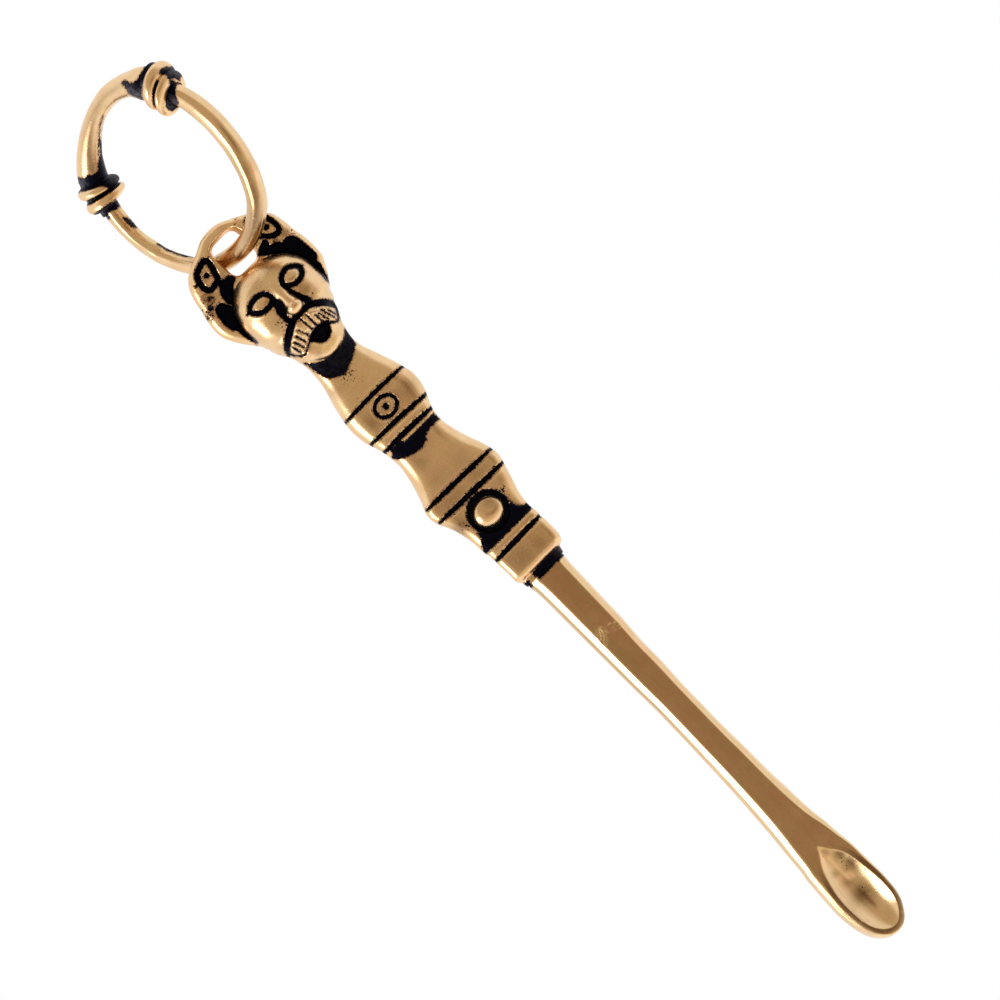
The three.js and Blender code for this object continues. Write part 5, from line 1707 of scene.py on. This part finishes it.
    def build_collar(self, collar: Collar, finish: bpy.types.Material) -> None:
        """Builds a collar by turning its profile.

        Args:
            collar: The collar.
            finish: Its material.
        """
        rows = np.vstack([flowing(collar.rows[:-3], False, 3), collar.rows[-3:]])
        turn = math.radians(collar.axis)
        axis = collar.way * (math.cos(turn) * self.up - math.sin(turn) * self.across)
        middle = self.centre + collar.middle[0] * self.across + collar.middle[1] * self.up
        _, out, normal = self.axes(rows[:, 2])
        middles = middle + axis * rows[:, :1] + out * rows[:, 4:]
        hanging = normal - collar.sag * np.maximum(rows[:, :1], 0.0) * self.up
        piece = Shaper.tube(collar.name, middles, out, hanging, rows[:, 1], 64)
        self.mark(piece, np.repeat(rows[:, 3], 65), np.zeros(65 * len(rows)))
        Shaper.finish(piece, finish, Body.RING, "ring_bow", Slot.PATINATED)


@dataclass
class Studio:
    """The plain white set: floor, a soft lamp, a dark card behind the camera and the camera."""

    aim: Vector = field(default_factory=lambda: Vector((-0.000715, 0.0, -0.048323)))
    distance: float = 1.6
    frame_width: float = 0.0875
    turn: float = math.radians(44.935)
    floor_level: float = -0.9
    dark_right: float = 0.2
    dark_level: float = -0.055

    def camera(self) -> None:
        """Places the camera straight in front, turned so that the spoon lies from upper left to lower right."""
        data = bpy.data.cameras.new("camera")
        data.sensor_width = 36.0
        data.lens = data.sensor_width * self.distance / self.frame_width
        data.clip_start = 0.05
        made = bpy.data.objects.new("camera", data)
        bpy.context.scene.collection.objects.link(made)
        right = Vector((math.sin(self.turn), 0.0, -math.cos(self.turn)))
        up = Vector((math.cos(self.turn), 0.0, math.sin(self.turn)))
        back = right.cross(up)
        turn = Matrix((right, up, back)).transposed().to_4x4()
        made.matrix_world = Matrix.Translation(self.aim + back * self.distance) @ turn
        bpy.context.scene.camera = made

    def world(self) -> None:
        """A pale surround that is white to the camera and in reflections."""
        made = bpy.data.worlds.new("surround")
        bpy.context.scene.world = made
        made.use_nodes = True
        tree = made.node_tree
        tree.nodes.clear()
        path = tree.nodes.new("ShaderNodeLightPath")
        seen = tree.nodes.new("ShaderNodeMath")
        seen.operation = "MAXIMUM"
        tree.links.new(path.outputs["Is Camera Ray"], seen.inputs[0])
        tree.links.new(path.outputs["Is Glossy Ray"], seen.inputs[1])
        white = tree.nodes.new("ShaderNodeBackground")
        white.inputs["Strength"].default_value = 1.0
        white.inputs["Color"].default_value = (1.0, 1.0, 1.0, 1.0)
        lit = tree.nodes.new("ShaderNodeBackground")
        lit.inputs["Strength"].default_value = 0.8
        lit.inputs["Color"].default_value = (1.0, 1.0, 1.0, 1.0)
        mix = tree.nodes.new("ShaderNodeMixShader")
        tree.links.new(seen.outputs[0], mix.inputs[0])
        tree.links.new(lit.outputs[0], mix.inputs[1])
        tree.links.new(white.outputs[0], mix.inputs[2])
        out = tree.nodes.new("ShaderNodeOutputWorld")
        tree.links.new(mix.outputs[0], out.inputs["Surface"])

    def floor(self) -> None:
        """The pale floor."""
        bpy.ops.object.select_all(action="DESELECT")
        bpy.ops.mesh.primitive_plane_add(size=2.4, location=(0.0, 0.0, self.floor_level))
        made = bpy.context.object
        made.name = "floor"
        made.data.transform(made.matrix_world)
        made.matrix_world = Matrix.Identity(4)
        g = Graph("pale_floor")
        where = g.node("ShaderNodeTexCoord").outputs["Object"]
        colour = g.mix(g.noise(where, 30.0, 2.0, 0.5), (0.86, 0.86, 0.86), (0.9, 0.9, 0.9))
        paper = g.node("ShaderNodeBsdfDiffuse")
        g.link(colour, paper.inputs["Color"])
        glow = g.node("ShaderNodeEmission")
        glow.inputs["Strength"].default_value = 0.45
        path = g.node("ShaderNodeLightPath")
        seen = g.node("ShaderNodeMath", operation="MAXIMUM")
        g.link(path.outputs["Is Camera Ray"], seen.inputs[0])
        g.link(path.outputs["Is Glossy Ray"], seen.inputs[1])
        add = g.node("ShaderNodeAddShader")
        g.link(paper.outputs[0], add.inputs[0])
        g.link(glow.outputs[0], add.inputs[1])
        mix = g.node("ShaderNodeMixShader")
        g.link(seen.outputs[0], mix.inputs[0])
        g.link(paper.outputs[0], mix.inputs[1])
        g.link(add.outputs[0], mix.inputs[2])
        g.link(mix.outputs[0], g.node("ShaderNodeOutputMaterial").inputs["Surface"])
        made.data.materials.append(g.material)

    def lamp(self, name: str, place: Vector, size: float, power: float) -> None:
        """Adds a soft round lamp that faces the spoon.

        Args:
            name: The lamp's name.
            place: Where it stands.
            size: How wide it is.
            power: Watts.
        """
        data = bpy.data.lights.new(name, "AREA")
        data.shape = "DISK"
        data.size = size
        data.energy = power
        made = bpy.data.objects.new(name, data)
        bpy.context.scene.collection.objects.link(made)
        made.location = place
        made.rotation_mode = "QUATERNION"
        made.rotation_quaternion = (self.aim - place).to_track_quat("-Z", "Y")
        made.visible_camera = False

    def card(self) -> None:
        """The grey card in front, dark in its middle, that the front faces mirror."""
        bpy.ops.object.select_all(action="DESELECT")
        bpy.ops.mesh.primitive_plane_add(size=1.6, location=(0.0, 0.0, 0.0))
        made = bpy.context.object
        made.name = "grey_card"
        place = Matrix.Translation((0.62, -0.52, 0.675)) @ Matrix.Rotation(math.radians(90), 4, "X")
        place = place @ Matrix.Diagonal((1.72, 1.906, 1.0, 1.0))
        made.data.transform(place)
        made.matrix_world = Matrix.Identity(4)
        made.visible_camera = False
        made.visible_shadow = False
        made.visible_diffuse = False
        g = Graph("grey_card")
        where = g.node("ShaderNodeTexCoord").outputs["Object"]
        moved = g.node("ShaderNodeVectorMath", operation="ADD")
        moved.inputs[1].default_value = (-self.dark_right, 0.0, -self.dark_level)
        g.link(where, moved.inputs[0])
        scaled = g.node("ShaderNodeVectorMath", operation="MULTIPLY")
        scaled.inputs[1].default_value = (1.0, 0.0, 2.2)
        g.link(moved.outputs["Vector"], scaled.inputs[0])
        far = g.node("ShaderNodeVectorMath", operation="LENGTH")
        g.link(scaled.outputs["Vector"], far.inputs[0])
        away = far.outputs["Value"]
        near = g.mix(g.ramp(away, 0.08, 0.42), (0.3, 0.2, 0.125), (0.57, 0.48, 0.35))
        sides = g.node("ShaderNodeSeparateXYZ")
        g.link(moved.outputs["Vector"], sides.inputs[0])
        outward = g.sum("ABSOLUTE", sides.outputs["X"], 0.0)
        below = g.sum("MULTIPLY", sides.outputs["Z"], -1.0)
        near = g.mix(g.ramp(below, 0.12, 0.45), near, (0.84, 0.73, 0.55))
        colour = g.mix(g.ramp(outward, 0.5, 1.5), near, (0.9, 0.87, 0.82))
        glow = g.node("ShaderNodeEmission")
        g.link(colour, glow.inputs["Color"])
        g.link(glow.outputs[0], g.node("ShaderNodeOutputMaterial").inputs["Surface"])
        made.data.materials.append(g.material)

    def build(self) -> None:
        """Makes the whole set."""
        self.camera()
        self.world()
        self.floor()
        self.card()
        self.lamp("left_box", Vector((-0.56, -0.22, -0.03)), 0.33, 1.15)


CAST_GOLD = BronzeFinish(
    "cast_gold_bronze", light=(0.87, 0.62, 0.35), deep=(0.8, 0.54, 0.28), rosy=(0.84, 0.5, 0.31),
    olive=(0.72, 0.56, 0.28), tarnish_and_painted_shade=(0.31, 0.185, 0.095), halo=(0.3, 0.15, 0.08), skin=(0.005, 0.005, 0.011),
    wear_and_sheen_grey=(0.11, 0.1, 0.12), roughness=(0.19, 0.34), grain=0.2, ragged=1.4, streaks=0.0,
)
SMOOTH_BROWN = BronzeFinish(
    "smooth_brown_bronze", light=(0.87, 0.62, 0.36), deep=(0.8, 0.53, 0.28), rosy=(0.86, 0.5, 0.33),
    olive=(0.66, 0.53, 0.25), tarnish_and_painted_shade=(0.28, 0.165, 0.08), halo=(0.32, 0.17, 0.09), skin=(0.005, 0.005, 0.011),
    wear_and_sheen_grey=(0.11, 0.1, 0.12), roughness=(0.14, 0.26), grain=0.12, ragged=1.2, streaks=0.35,
)


def main() -> None:
    """Builds the finishes, the pieces and the set."""
    for leftover in list(bpy.data.objects):
        bpy.data.objects.remove(leftover)
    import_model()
    cast, smooth = CAST_GOLD.material(), SMOOTH_BROWN.material()
    Ring().build(cast, smooth)
    Shank().build(smooth)
    Stud().build(cast)
    Handle().build(cast)
    Studio().build()
    bpy.context.scene.view_settings.view_transform = "Standard"


if __name__ == "__main__":
    logging.basicConfig(level=logging.INFO, format="%(message)s")
    main()
